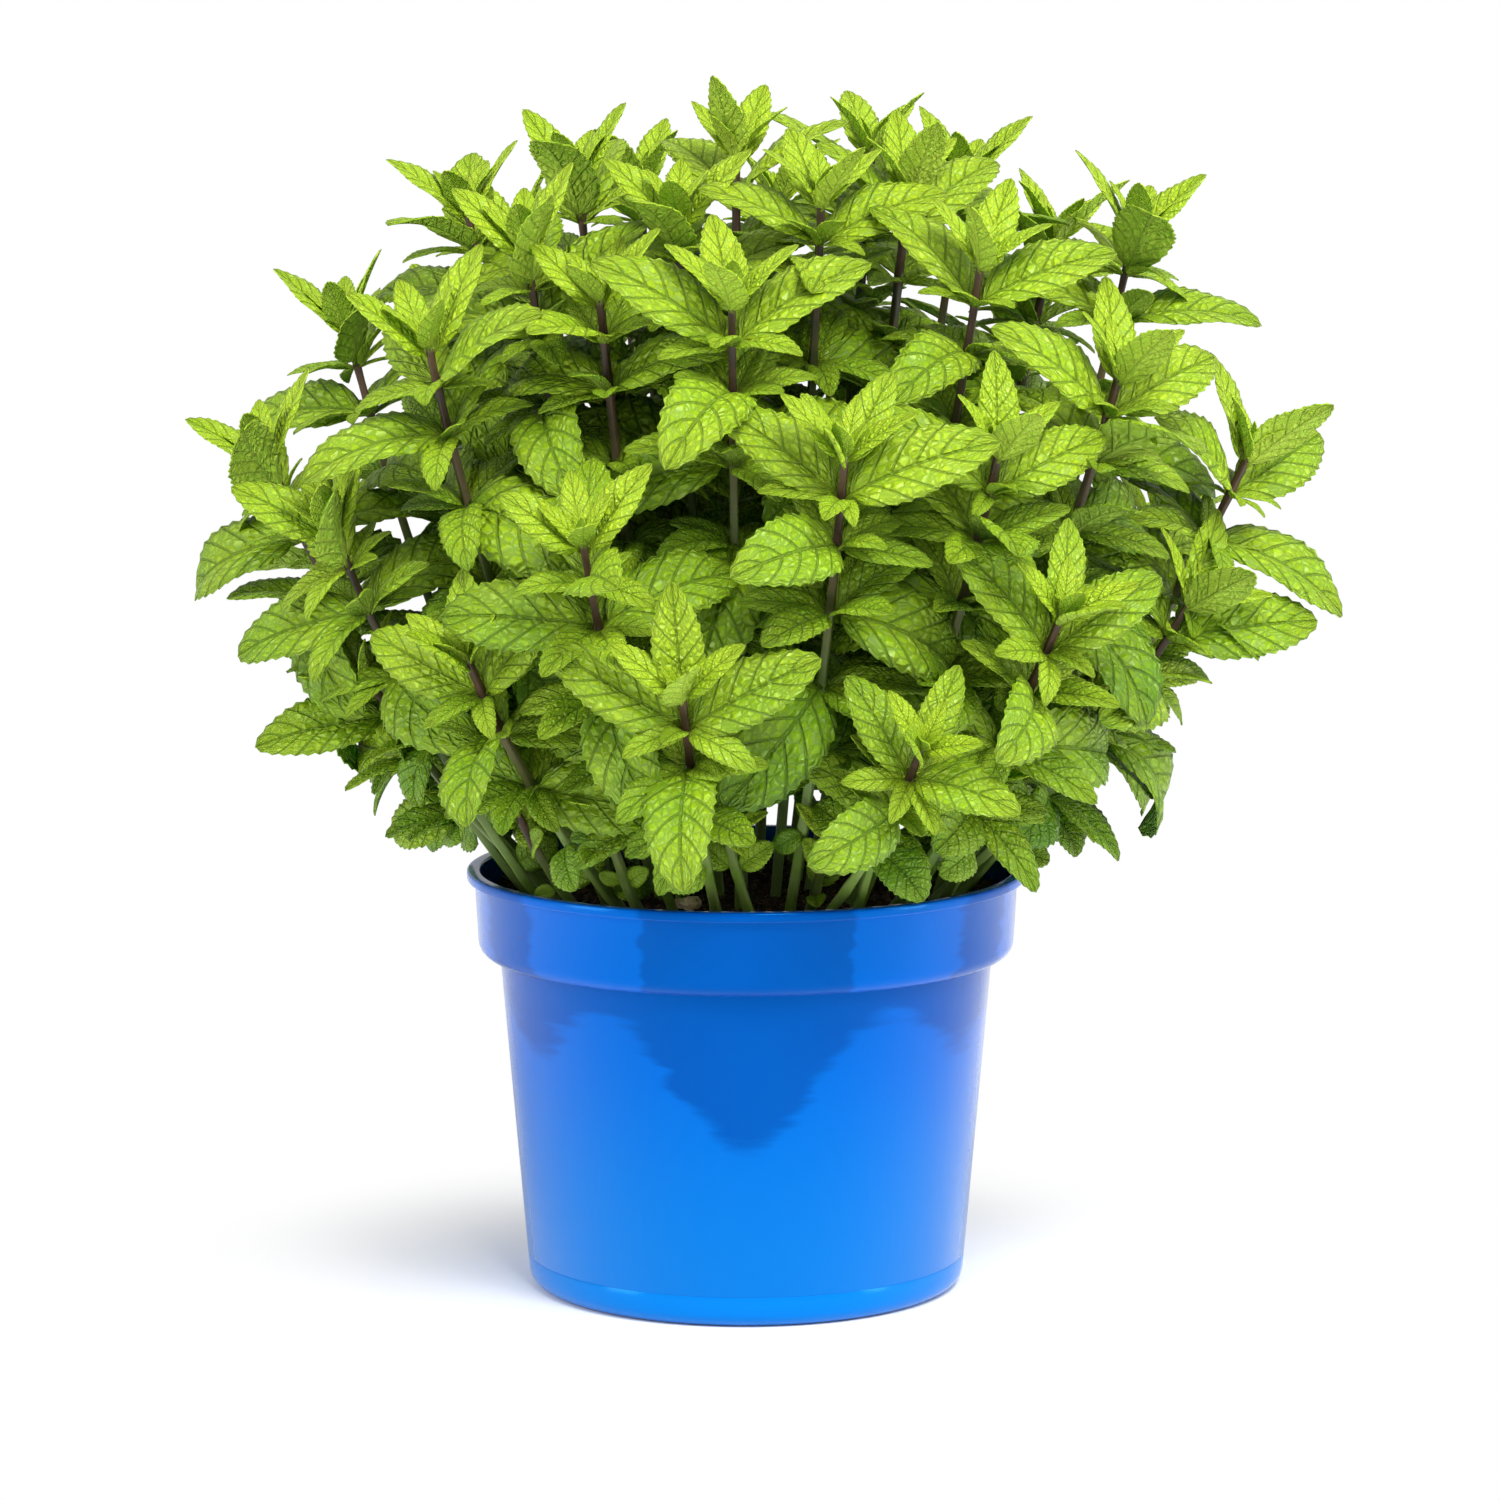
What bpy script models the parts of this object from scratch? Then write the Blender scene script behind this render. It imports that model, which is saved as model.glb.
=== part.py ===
"""Potted mint: a collared plastic pot, its potting mix, a small stone and a clump of leafy mint shoots.

Metres, +Z up. The origin is the centre of the pot's flat underside.
Each shoot is one grown piece: a square stem with opposite pairs of leaves, every pair turned a quarter turn
from the pair above it. Its stem stands in a socket in the potting mix. A leaf that would run into a leaf or a
stem that is already there is swung, lifted or shortened until it is clear, and is left off if nothing helps.
"""

import math
import random
from collections import namedtuple

import bmesh
import bpy
from mathutils import Matrix, Vector
from mathutils.bvhtree import BVHTree

MM = 0.001
GAP = 0.3 * MM
MERGE = 0.00001
UP = Vector((0, 0, 1))

# Pot: a tapered body with a wider collar and a flared lip
POT_HEIGHT = 128 * MM
WALL = 1.6 * MM
LIP_RADIUS = 85 * MM
LIP_HEIGHT = 3 * MM
COLLAR_TOP_RADIUS = 82.6 * MM
COLLAR_BOTTOM_RADIUS = 81.6 * MM
COLLAR_HEIGHT = 26 * MM
COLLAR_EDGE = 4.5 * MM
BODY_TOP_RADIUS = 75 * MM
BASE_RADIUS = 66.6 * MM
BASE_EDGE = 5 * MM
TURN_STEPS = 44
ARC_STEPS = 2
DRAIN_HOLES = 8
DRAIN_RADIUS = 4.5 * MM
DRAIN_CIRCLE = 46 * MM

# Potting mix and the stone that lies on it
FILL_DEPTH_BELOW_LIP = 9 * MM
MOUND = 3 * MM
STEM_DEPTH = 12 * MM
STONE_RADIUS = 3.2 * MM
STONE_STRETCH = Vector((1.45, 1, 0.72))
STONE_PLACE = Vector((-11, -42, 0)) * MM
STONE_STEP = 2 * MM
STONE_RINGS = 16

# Stems
STEM_BASE_RADIUS = 2.2 * MM
STEM_TIP_RADIUS = 1.3 * MM
STEM_SPACING = 9 * MM
STEM_CLEARANCE = 1.2 * MM
ROOT_REACH = 66 * MM
ROOT_STEP = 4 * MM
ROOT_RINGS = 14
STEM_SHOW = 3 * MM
STATION_SPACING = 45 * MM
NODE_HEIGHT = 2.4 * MM
BUD_LENGTH = 4 * MM
BUD_RADIUS = 1.3 * MM

# Leaves, listed from the pair at the tip to the pair nearest the mix
INTERNODES = [d * MM for d in (4, 9, 15, 21, 24, 25, 26)]
LEAF_SHARES = (0.68, 0.96, 1.12, 1.18, 1.1, 0.98, 0.86)
LEAF_LIFTS = (34, 50, 66, 80, 90, 98, 104)
LEAF_DROOPS = (12, 28, 42, 54, 60, 62, 62)
LEAF_HALF_WIDTHS = (0.2, 0.23, 0.26, 0.28, 0.29, 0.29, 0.29)
RING_PLACES = (0.26, 0.64)
RING_WIDTHS = (0.95, 0.84)
LEAF_THICKNESS = 0.9 * MM
LEAF_FOLD = 16
LIGHT_SEEKING = (0.1, 0.35, 0.55, 0.62, 0.62, 0.62, 0.62)
SHADE_CENTRE = Vector((0, 90 * MM, POT_HEIGHT + 62 * MM))
LEAF_MARGIN = 0.7 * MM
NECK = 0.15
LOWEST_LEAF = POT_HEIGHT - 7 * MM
SWINGS = (0, 14, -14, 28, -28)
RAISES = (0, -14, 14, -28)
SHRINKS = (1, 0.84, 0.68, 0.52)
SEED = 11

BLUE = (0.0, 0.14, 0.78, 1)
PEAT = (0.02, 0.012, 0.008, 1)
PALE_STONE = (0.6, 0.48, 0.25, 1)
LEAF_GREEN = (0.18, 0.4, 0.04, 1)

Shoot = namedtuple("Shoot", "name tip root_share leaf pairs turn")
Stem = namedtuple("Stem", "shoot stations nodes aside tree point")
Station = namedtuple("Station", "place axis radius")
Leaf = namedtuple("Leaf", "start along face length half_width droop base")

# Every shoot: its tip in millimetres, the length of its longest leaves, the turn of its top pair in degrees.
# The tips are given for a pot of this height, and rise and sink with the pot.
TIPS_POT_HEIGHT = 128 * MM
SHOOT_GROUPS = (
    # name, share of the tip's reach at which the stem leaves the mix, most leaf pairs, shoots
    ("crown_shoot", 0.4, 6, (
        (-3, -12, 345, 38, 70), (38, 14, 346, 38, 20), (-50, -14, 338, 38, 60), (22, -50, 333, 40, 80),
        (-33, 48, 335, 38, 10), (66, 34, 336, 38, 50), (10, 78, 328, 38, 35), (-64, -54, 320, 40, 45),
        (-20, -46, 328, 40, 15), (48, -24, 336, 38, 65), (94, 30, 318, 40, 25), (-72, 46, 318, 38, 85),
    )),
    ("front_shoot", 0.45, 7, (
        (-4, -88, 306, 43, 90), (28, -114, 264, 43, 60), (-18, -126, 198, 43, 92), (-92, -66, 292, 44, 80),
        (-46, -116, 240, 39, 25), (-42, -72, 306, 38, 0), (72, -98, 264, 39, 75), (68, -64, 316, 40, 30),
        (108, -70, 284, 42, 70), (90, -104, 218, 40, 65), (50, -120, 182, 34, 50), (-80, -94, 204, 38, 100),
    )),
    ("side_shoot", 0.5, 7, (
        (-143, -20, 256, 40, 75), (-122, 24, 292, 40, 95), (-84, 10, 328, 38, 80), (116, -8, 322, 40, 85),
        (150, -20, 256, 43, 60), (132, -36, 214, 42, 15), (-121, -56, 238, 42, 70), (-112, -34, 190, 38, 5),
        (130, 36, 232, 40, 40), (-130, 46, 226, 40, 30), (-104, 22, 174, 34, 60), (108, 22, 182, 34, 10),
    )),
    ("back_shoot", 0.45, 6, (
        (-92, 84, 290, 40, 80), (-38, 112, 296, 42, 60), (32, 118, 300, 40, 90), (86, 90, 294, 40, 20),
        (-78, 118, 222, 40, 100), (-8, 138, 236, 42, 85), (62, 130, 228, 42, 70), (116, 84, 220, 38, 10),
    )),
    ("low_sprig", 0.72, 3, (
        (24, -72, 150, 25, 80), (42, -92, 172, 31, 95), (-42, -74, 158, 29, 0), (-68, -44, 152, 27, 75),
        (-84, -24, 156, 27, 20), (92, 4, 156, 27, 60), (74, -64, 166, 30, 30), (-8, -84, 164, 32, 10),
        (-62, 62, 166, 30, 60), (50, 76, 170, 30, 40),
    )),
)


def shoots():
    """Every shoot of the clump, in metres and radians."""
    rise = UP * (POT_HEIGHT - TIPS_POT_HEIGHT)
    return [
        Shoot(f"{name}_{i + 1}", Vector((x, y, z)) * MM + rise, share, leaf * MM, pairs, math.radians(turn))
        for name, share, pairs, rows in SHOOT_GROUPS
        for i, (x, y, z, leaf, turn) in enumerate(rows)
    ]


def fill_level(radius):
    """Height of the potting mix at a distance from the pot's axis: highest in the middle."""
    share = min(radius / COLLAR_BOTTOM_RADIUS, 1)
    return POT_HEIGHT - FILL_DEPTH_BELOW_LIP + MOUND * (1 - share * share)


def across(axis, reference):
    """Axes of a section square to an axis, the first as near to the reference as it can be."""
    first = (reference - axis * reference.dot(axis)).normalized()
    return first, axis.cross(first)


def corners(station, aside, turn, grow=0.0):
    """The four corners of a square stem at a station."""
    first, second = across(station.axis, aside)
    radius = station.radius + grow
    angles = [turn + math.radians(45 + 90 * i) for i in range(4)]
    return [station.place + (first * math.cos(a) + second * math.sin(a)) * radius for a in angles]


def square_rod(bm, rings):
    """Extrude a square section through its rings of corners and return the side faces of each stretch."""
    bmesh.ops.create_circle(bm, cap_ends=True, segments=4, radius=STEM_BASE_RADIUS)
    bm.faces.ensure_lookup_table()
    cap = bm.faces[0]
    ends = list(cap.verts)
    for vertex, corner in zip(ends, rings[0]):
        vertex.co = corner
    stretches = []
    for ring in rings[1:]:
        made = bmesh.ops.extrude_face_region(bm, geom=[cap])
        if stretches:
            bmesh.ops.delete(bm, geom=[cap], context="FACES_ONLY")
        cap = next(item for item in made["geom"] if isinstance(item, bmesh.types.BMFace))
        far = [min(cap.verts, key=lambda v, e=end: (v.co - e.co).length) for end in ends]
        for vertex, corner in zip(far, ring):
            vertex.co = corner
        pairs = list(zip(ends, far))
        sides = [bm.faces.get([*pairs[i], *pairs[(i + 1) % 4][::-1]]) for i in range(4)]
        stretches.append(sides)
        ends = far
    return stretches, cap


def rod_triangles(rings):
    """Triangles for a number of four-cornered rings that end in a point, with each side split both ways."""
    triangles = [(0, 1, 2), (0, 2, 3), (0, 1, 3), (1, 2, 3)]
    for low in range(0, 4 * rings - 4, 4):
        for i in range(4):
            a, b = low + i, low + (i + 1) % 4
            c, d = b + 4, a + 4
            triangles += [(a, b, c), (a, c, d), (a, b, d), (b, c, d)]
    last = 4 * rings - 4
    return triangles + [(last + i, last + (i + 1) % 4, last + 4) for i in range(4)]


def rod_tree(rings, tip):
    """A collision tree for a run of four-cornered rings that ends in a point."""
    points = [point for ring in rings for point in ring]
    return BVHTree.FromPolygons([*points, tip], rod_triangles(len(rings)))


def crosses_itself(rings, tip):
    """Whether a run of rings cuts through itself anywhere but at its own corners."""
    tree = rod_tree(rings, tip)
    triangles = rod_triangles(len(rings))
    return any(not set(triangles[i]) & set(triangles[j]) for i, j in tree.overlap(tree))


def collar_tree():
    """A collision tree for the pot's collar, as a plain ring."""
    inner = COLLAR_BOTTOM_RADIUS - 2 * WALL
    low = POT_HEIGHT - COLLAR_HEIGHT
    section = [(inner, low), (LIP_RADIUS, low), (LIP_RADIUS, POT_HEIGHT), (inner, POT_HEIGHT)]
    turns = [2 * math.pi * i / TURN_STEPS for i in range(TURN_STEPS)]
    points = [(r * math.cos(turn), r * math.sin(turn), z) for turn in turns for r, z in section]
    quads = [
        (4 * i + k, 4 * i + (k + 1) % 4, 4 * j + (k + 1) % 4, 4 * j + k)
        for i, j in zip(range(TURN_STEPS), [*range(1, TURN_STEPS), 0]) for k in range(4)
    ]
    return BVHTree.FromPolygons(points, quads)


def stem_path(root, tip):
    """Points along a stem that leans out from its root and turns up toward its tip."""
    reach = tip - root
    knee = root + Vector((reach.x * 0.62, reach.y * 0.62, reach.z * 0.46))
    steps = 64
    curve = []
    for i in range(steps + 1):
        t = i / steps
        curve.append(root * (1 - t) ** 2 + knee * (2 * t * (1 - t)) + tip * t ** 2)
    return curve


def place_on(curve, distance):
    """Place and direction on a curve at a distance back from its end."""
    for high, low in zip(curve[::-1], curve[-2::-1]):
        step = (high - low).length
        if distance <= step:
            break
        distance -= step
    axis = (high - low).normalized()
    return high - axis * distance, axis


def grow_stem(shoot, root):
    """A shoot's stem from its buried end to its tip, with the places of its leaf pairs."""
    curve = stem_path(root, shoot.tip)
    length = sum((b - a).length for a, b in zip(curve, curve[1:]))
    first_axis = (curve[1] - curve[0]).normalized()
    aside = first_axis.cross(UP).normalized() if first_axis.z < 0.9999 else Vector((1, 0, 0))

    def radius(back):
        share = min(back / length, 1)
        return STEM_TIP_RADIUS + (STEM_BASE_RADIUS - STEM_TIP_RADIUS) * math.sqrt(share)

    nodes = []
    back = 0
    for gap in INTERNODES[:shoot.pairs]:
        back += gap
        if back < length - STEM_SHOW - NODE_HEIGHT:
            nodes.append(back)
    stops = [back + side * NODE_HEIGHT / 2 for back in nodes for side in (-1, 1)]
    bare = length - STEM_SHOW - stops[-1]
    count = int(bare / STATION_SPACING) + 1
    stops += [stops[-1] + bare * (i + 1) / count for i in range(count)]
    stations = [Station(*place_on(curve, back), radius(back)) for back in stops]
    end = root - first_axis * STEM_DEPTH
    stations.append(Station(end, first_axis, STEM_BASE_RADIUS))
    stations.reverse()
    top = stations[-1]
    stations.append(Station(shoot.tip, top.axis, BUD_RADIUS))
    point = shoot.tip + top.axis * BUD_LENGTH
    fat = rod_tree([corners(s, aside, shoot.turn, STEM_CLEARANCE) for s in stations], point)
    thin = rod_tree([corners(s, aside, shoot.turn) for s in stations], point)
    return Stem(shoot, stations, nodes, aside, thin, point), fat


def root_places(shoot):
    """Places in the mix for a stem: where it is wanted, then in growing rings around that."""
    wanted = Vector((shoot.tip.x, shoot.tip.y, 0)) * shoot.root_share
    if wanted.length > ROOT_REACH:
        wanted *= ROOT_REACH / wanted.length
    for ring in range(ROOT_RINGS):
        for i in range(max(1, 6 * ring)):
            turn = shoot.turn + 2 * math.pi * i / max(1, 6 * ring)
            place = wanted + Vector((math.cos(turn), math.sin(turn), 0)) * ring * ROOT_STEP
            if place.length <= ROOT_REACH:
                place.z = fill_level(place.length)
                yield place


def plant_stems():
    """Every stem, rooted as near to its own place as its neighbours let it."""
    stems = []
    roots = []
    collar = collar_tree()
    for shoot in shoots():
        for root in root_places(shoot):
            if any((root - other).length < STEM_SPACING for other in roots):
                continue
            stem, fat = grow_stem(shoot, root)
            if fat.overlap(collar) or any(fat.overlap(other.tree) for other in stems):
                continue
            stems.append(stem)
            roots.append(root)
            break
    return stems


def leaf_ring(leaf, share, width, margin=0.0):
    """Left edge, upper midrib, right edge and lower midrib of a leaf at a share of its length."""
    bend = leaf.droop * share
    reach = leaf.length * math.sin(bend) / leaf.droop
    drop = leaf.length * (1 - math.cos(bend)) / leaf.droop
    middle = leaf.start + leaf.along * reach - leaf.face * drop
    face = leaf.face * math.cos(bend) + leaf.along * math.sin(bend)
    side = leaf.along.cross(leaf.face)
    fold = math.radians(LEAF_FOLD)
    half = leaf.half_width * width + margin
    lift = face * half * math.sin(fold)
    thick = face * (LEAF_THICKNESS / 2 + margin)
    return [
        middle - side * half * math.cos(fold) + lift,
        middle + thick,
        middle + side * half * math.cos(fold) + lift,
        middle - thick,
    ]


def leaf_rings(leaf, margin=0.0):
    rings = [leaf_ring(leaf, place, width, margin) for place, width in zip(RING_PLACES, RING_WIDTHS)]
    tip = leaf_ring(leaf, 1 + margin / leaf.length, 0)
    return rings, (tip[1] + tip[3]) / 2


def stem_face(stem, pair, side):
    """The corners of the stem's own face that a leaf grows from, in the order of a leaf's ring."""
    around = stem.stations[-3 - 2 * pair:][:2]
    low, high = (corners(station, stem.aside, stem.shoot.turn) for station in around)
    right = (2 * side + pair + 3) % 4
    left = (right + 1) % 4
    return [high[left], high[right], low[right], low[left]]


def leaf_tree(leaf):
    """A collision tree for a leaf with its neck."""
    rings, tip = leaf_rings(leaf)
    return rod_tree([leaf.base, *rings], tip)


def clear_of_pot(points):
    """Whether points are all above the mix, the lip or, outside the pot, the lowest place for a leaf."""
    for point in points:
        radius = math.hypot(point.x, point.y)
        if radius < COLLAR_BOTTOM_RADIUS - 3 * WALL:
            floor = fill_level(radius)
        elif radius < LIP_RADIUS + LEAF_MARGIN:
            floor = POT_HEIGHT
        else:
            floor = LOWEST_LEAF
        if point.z < floor + 2 * LEAF_MARGIN:
            return False
    return True


def leaf_outline(leaf):
    """Points around a leaf's edge and halfway between them."""
    rings, tip = leaf_rings(leaf)
    edge = [leaf.start, rings[0][0], rings[1][0], tip, rings[1][2], rings[0][2]]
    halves = [(a + b) / 2 for a, b in zip(edge, edge[1:] + edge[:1])]
    return edge[1:] + halves[1:]


def grow_leaf(stem, pair, side, swing, lift, size, droop, lean):
    """One leaf of a pair, reaching out from its own face of the square stem."""
    shoot = stem.shoot
    station = stem.stations[-3 - 2 * pair]
    first, second = across(station.axis, stem.aside)
    turn = shoot.turn + math.pi * (side + pair / 2)
    out = first * math.cos(turn) + second * math.sin(turn)
    swung = turn + math.radians(swing)
    swung_out = first * math.cos(swung) + second * math.sin(swung)
    angle = math.radians(lift)
    along = (station.axis * math.cos(angle) + swung_out * math.sin(angle)).normalized()
    face = station.axis * math.sin(angle) - swung_out * math.cos(angle)
    light = (station.place - SHADE_CENTRE).normalized()
    seeking = face.lerp(light, LIGHT_SEEKING[pair]) + along.cross(face) * lean
    face = (seeking - along * seeking.dot(along)).normalized()
    length = shoot.leaf * LEAF_SHARES[pair] * size
    start = station.place + station.axis * NODE_HEIGHT / 2 + out * station.radius * math.sqrt(0.5)
    return Leaf(start, along, face, length, length * LEAF_HALF_WIDTHS[pair], math.radians(droop), None)


def rooted(leaf, corners_of_face):
    """The leaf with its neck on the stem's face, turned whichever way doesn't cross itself, or None."""
    rings, tip = leaf_rings(leaf)
    for base in (corners_of_face, corners_of_face[-1:] + corners_of_face[:-1]):
        if not crosses_itself([base, *rings], tip):
            return leaf._replace(base=base)
    return None


def grow_leaves(stems):
    """Every leaf of every shoot, keyed by shoot, pair and side, with those that find no room left off."""
    rng = random.Random(SEED)
    collar = collar_tree()
    placed = []
    leaves = {}
    for pair in range(len(INTERNODES)):
        for stem in stems:
            for side in (0, 1):
                draws = [rng.uniform(-1, 1) for _ in range(5)]
                if pair >= len(stem.nodes):
                    continue
                leaf = find_room(stem, pair, side, draws, stems, placed, collar)
                if leaf:
                    placed.append((leaf, leaf_tree(leaf)))
                    leaves[stem.shoot.name, pair, side] = leaf
    return leaves


def find_room(stem, pair, side, draws, stems, placed, collar):
    """The first pose of a leaf that is clear of everything already there."""
    swing, raised, sized, drooped, leaned = draws
    face = stem_face(stem, pair, side)
    station = stem.stations[-3 - 2 * pair]
    middle = station.place + station.axis * NODE_HEIGHT / 2
    reach = stem.shoot.leaf * 1.3
    near = [tree for leaf, tree in placed if (leaf.start - middle).length < reach + leaf.length]
    for shrink in SHRINKS:
        for shift in SWINGS:
            for rise in RAISES:
                leaf = grow_leaf(
                    stem, pair, side,
                    8 * swing + shift,
                    LEAF_LIFTS[pair] + 8 * raised + rise,
                    (1 + 0.08 * sized) * shrink,
                    LEAF_DROOPS[pair] * (1 + 0.3 * drooped),
                    0.25 * leaned,
                )
                leaf = rooted(leaf, face)
                if not leaf or not clear_of_pot(leaf_outline(leaf)):
                    continue
                rings, tip = leaf_rings(leaf, LEAF_MARGIN)
                whole = rod_tree([leaf.base, *rings], tip)
                if whole.overlap(collar) or any(whole.overlap(tree) for tree in near):
                    continue
                if any(whole.overlap(other.tree) for other in stems if other is not stem):
                    continue
                rings, tip = leaf_rings(leaf)
                neck = [corner + (leaf.start - middle) * NECK for corner in leaf.base]
                if rod_tree([neck, *rings], tip).overlap(stem.tree):
                    continue
                return leaf
    return None


def material(name, colour, roughness):
    made = bpy.data.materials.new(name)
    made.use_nodes = True
    shader = made.node_tree.nodes["Principled BSDF"]
    shader.inputs["Base Color"].default_value = colour
    shader.inputs["Roughness"].default_value = roughness
    shader.inputs["Metallic"].default_value = 0
    return made


def add(name, mesh, collection, finish=None):
    obj = bpy.data.objects.new(name, mesh)
    collection.objects.link(obj)
    if finish:
        mesh.materials.append(finish)
    return obj


def add_solid(name, bm, collection, finish=None):
    """Turn a finished bmesh into an object with its faces outward."""
    bmesh.ops.recalc_face_normals(bm, faces=bm.faces)
    mesh = bpy.data.meshes.new(name)
    bm.to_mesh(mesh)
    bm.free()
    return add(name, mesh, collection, finish)


def collection_named(name, is_helper=False):
    made = bpy.data.collections.new(name)
    bpy.context.scene.collection.children.link(made)
    made.hide_render = is_helper
    return made


def hide(cutter):
    cutter.hide_render = True
    cutter.display_type = "WIRE"


def arc(centre, radius, start, end):
    """Points on a rounded edge, from one angle to another in degrees, both included."""
    angles = [math.radians(start + (end - start) * i / ARC_STEPS) for i in range(ARC_STEPS + 1)]
    return [(centre[0] + radius * math.cos(a), centre[1] + radius * math.sin(a)) for a in angles]


def pot_outside():
    """The pot's outer line, from the top of its lip down to the centre of its underside."""
    step = POT_HEIGHT - COLLAR_HEIGHT
    bead = LIP_HEIGHT / 5
    return [
        (LIP_RADIUS - bead, POT_HEIGHT),
        (LIP_RADIUS, POT_HEIGHT - bead),
        (LIP_RADIUS, POT_HEIGHT - LIP_HEIGHT + 2 * bead),
        (COLLAR_TOP_RADIUS, POT_HEIGHT - LIP_HEIGHT),
        *arc((COLLAR_BOTTOM_RADIUS - COLLAR_EDGE, step + COLLAR_EDGE), COLLAR_EDGE, 0, -90),
        (BODY_TOP_RADIUS, step),
        *arc((BASE_RADIUS - BASE_EDGE, BASE_EDGE), BASE_EDGE, 0, -90),
        (0, 0),
    ]


def pot_inside(clearance=0.0):
    """The pot's inner line from the centre of its floor up, or the line of a fill that stands clear of it."""
    inset = WALL + clearance
    step = POT_HEIGHT - COLLAR_HEIGHT
    return [
        (0, inset),
        *arc((BASE_RADIUS - BASE_EDGE, BASE_EDGE), BASE_EDGE - inset, -90, 0),
        (BODY_TOP_RADIUS - inset, step + inset),
        *arc((COLLAR_BOTTOM_RADIUS - COLLAR_EDGE, step + COLLAR_EDGE), COLLAR_EDGE - inset, -45, 0),
        (COLLAR_TOP_RADIUS - inset, POT_HEIGHT - LIP_HEIGHT),
    ]


def turned(name, profile, collection, finish):
    """A solid turned about Z from a profile that runs from the axis round to the axis."""
    mesh = bpy.data.meshes.new(name)
    points = [(r, 0, z) for r, z in profile]
    mesh.from_pydata(points, [(i, i + 1) for i in range(len(points) - 1)], [])
    obj = add(name, mesh, collection, finish)
    screw = obj.modifiers.new("turn", "SCREW")
    screw.steps = screw.render_steps = TURN_STEPS
    screw.use_merge_vertices = True
    screw.merge_threshold = MERGE
    screw.use_normal_calculate = True
    return obj


def cut(obj, cutters):
    boolean = obj.modifiers.new("cut", "BOOLEAN")
    boolean.operation = "DIFFERENCE"
    boolean.operand_type = "COLLECTION"
    boolean.collection = cutters


def make_pot(collection):
    """The pot, with a ring of drain holes through its floor."""
    lip_inside = (COLLAR_TOP_RADIUS - WALL, POT_HEIGHT)
    profile = [*pot_inside(), lip_inside, *pot_outside()]
    pot = turned("pot", profile, collection, material("pot_plastic", BLUE, 0.25))
    drains = collection_named("drain_cutters", is_helper=True)
    for i in range(DRAIN_HOLES):
        turn = 2 * math.pi * (i + 0.5) / DRAIN_HOLES
        place = Vector((DRAIN_CIRCLE * math.cos(turn), DRAIN_CIRCLE * math.sin(turn), WALL / 2))
        bm = bmesh.new()
        bmesh.ops.create_cone(
            bm, cap_ends=True, segments=12, radius1=DRAIN_RADIUS, radius2=DRAIN_RADIUS, depth=3 * WALL,
            matrix=Matrix.Translation(place),
        )
        hide(add_solid(f"drain_cutter_{i + 1}", bm, drains))
    cut(pot, drains)


def make_mix(stems, collection):
    """The fill of potting mix, shaped by the pot's inside, with a socket around the foot of each stem."""
    edge = COLLAR_BOTTOM_RADIUS - WALL - GAP
    sides = [point for point in pot_inside(GAP) if point[1] < fill_level(edge)]
    top = [(edge * share, fill_level(edge * share)) for share in (1, 0.66, 0.33, 0)]
    mix = turned("potting_mix", [*top[::-1], *sides[::-1]], collection, material("potting_mix", PEAT, 1))
    sockets = collection_named("socket_cutters", is_helper=True)
    for stem in stems:
        foot, surface = stem.stations[:2]
        low = foot._replace(place=foot.place - foot.axis * GAP)
        high = foot._replace(place=surface.place + foot.axis * MOUND)
        grow = GAP * math.sqrt(2)
        bm = bmesh.new()
        square_rod(bm, [corners(end, stem.aside, stem.shoot.turn, grow) for end in (low, high)])
        hide(add_solid(f"socket_{stem.shoot.name}", bm, sockets))
    cut(mix, sockets)


def stone_place(stems, leaves):
    """The bare spot on the mix that is nearest to where the stone is wanted, with its centre's height."""
    grown = [stem.tree for stem in stems] + [leaf_tree(leaf) for leaf in leaves.values()]
    lie = GAP + STONE_RADIUS * STONE_STRETCH.z
    room = STONE_RADIUS * STONE_STRETCH.x * math.sqrt(2) + STEM_CLEARANCE
    for ring in range(STONE_RINGS):
        for i in range(max(1, 6 * ring)):
            turn = 2 * math.pi * i / max(1, 6 * ring)
            place = STONE_PLACE + Vector((math.cos(turn), math.sin(turn), 0)) * ring * STONE_STEP
            place.z = fill_level(max(place.length - STONE_RADIUS, 0)) + lie
            ends = [Station(place + UP * lie * side, UP, room) for side in (-1, 1)]
            block = [corners(end, Vector((1, 0, 0)), 0) for end in ends]
            if not any(rod_tree(block, place + UP * 2 * lie).overlap(tree) for tree in grown):
                return place
    return place


def make_stone(stems, leaves, collection):
    """A small pale stone lying on the mix, longer than it is wide and flattened."""
    bm = bmesh.new()
    bmesh.ops.create_icosphere(bm, subdivisions=2, radius=STONE_RADIUS)
    bmesh.ops.scale(bm, vec=STONE_STRETCH, verts=bm.verts)
    stone = add_solid("pale_stone", bm, collection, material("pale_stone", PALE_STONE, 0.8))
    stone.location = stone_place(stems, leaves)


def leaf_solid(bm, face, leaf):
    """Draw one side face of the stem out into a leaf."""
    rings, tip = leaf_rings(leaf)
    base = leaf.base
    for ring in rings:
        made = bmesh.ops.extrude_discrete_faces(bm, faces=[face])
        face = made["faces"][0]
        ends = [min(face.verts, key=lambda v, c=corner: (v.co - c).length) for corner in base]
        for vertex, point in zip(ends, ring):
            vertex.co = point
        base = ring
    made = bmesh.ops.poke(bm, faces=[face])
    made["verts"][0].co = tip


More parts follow.
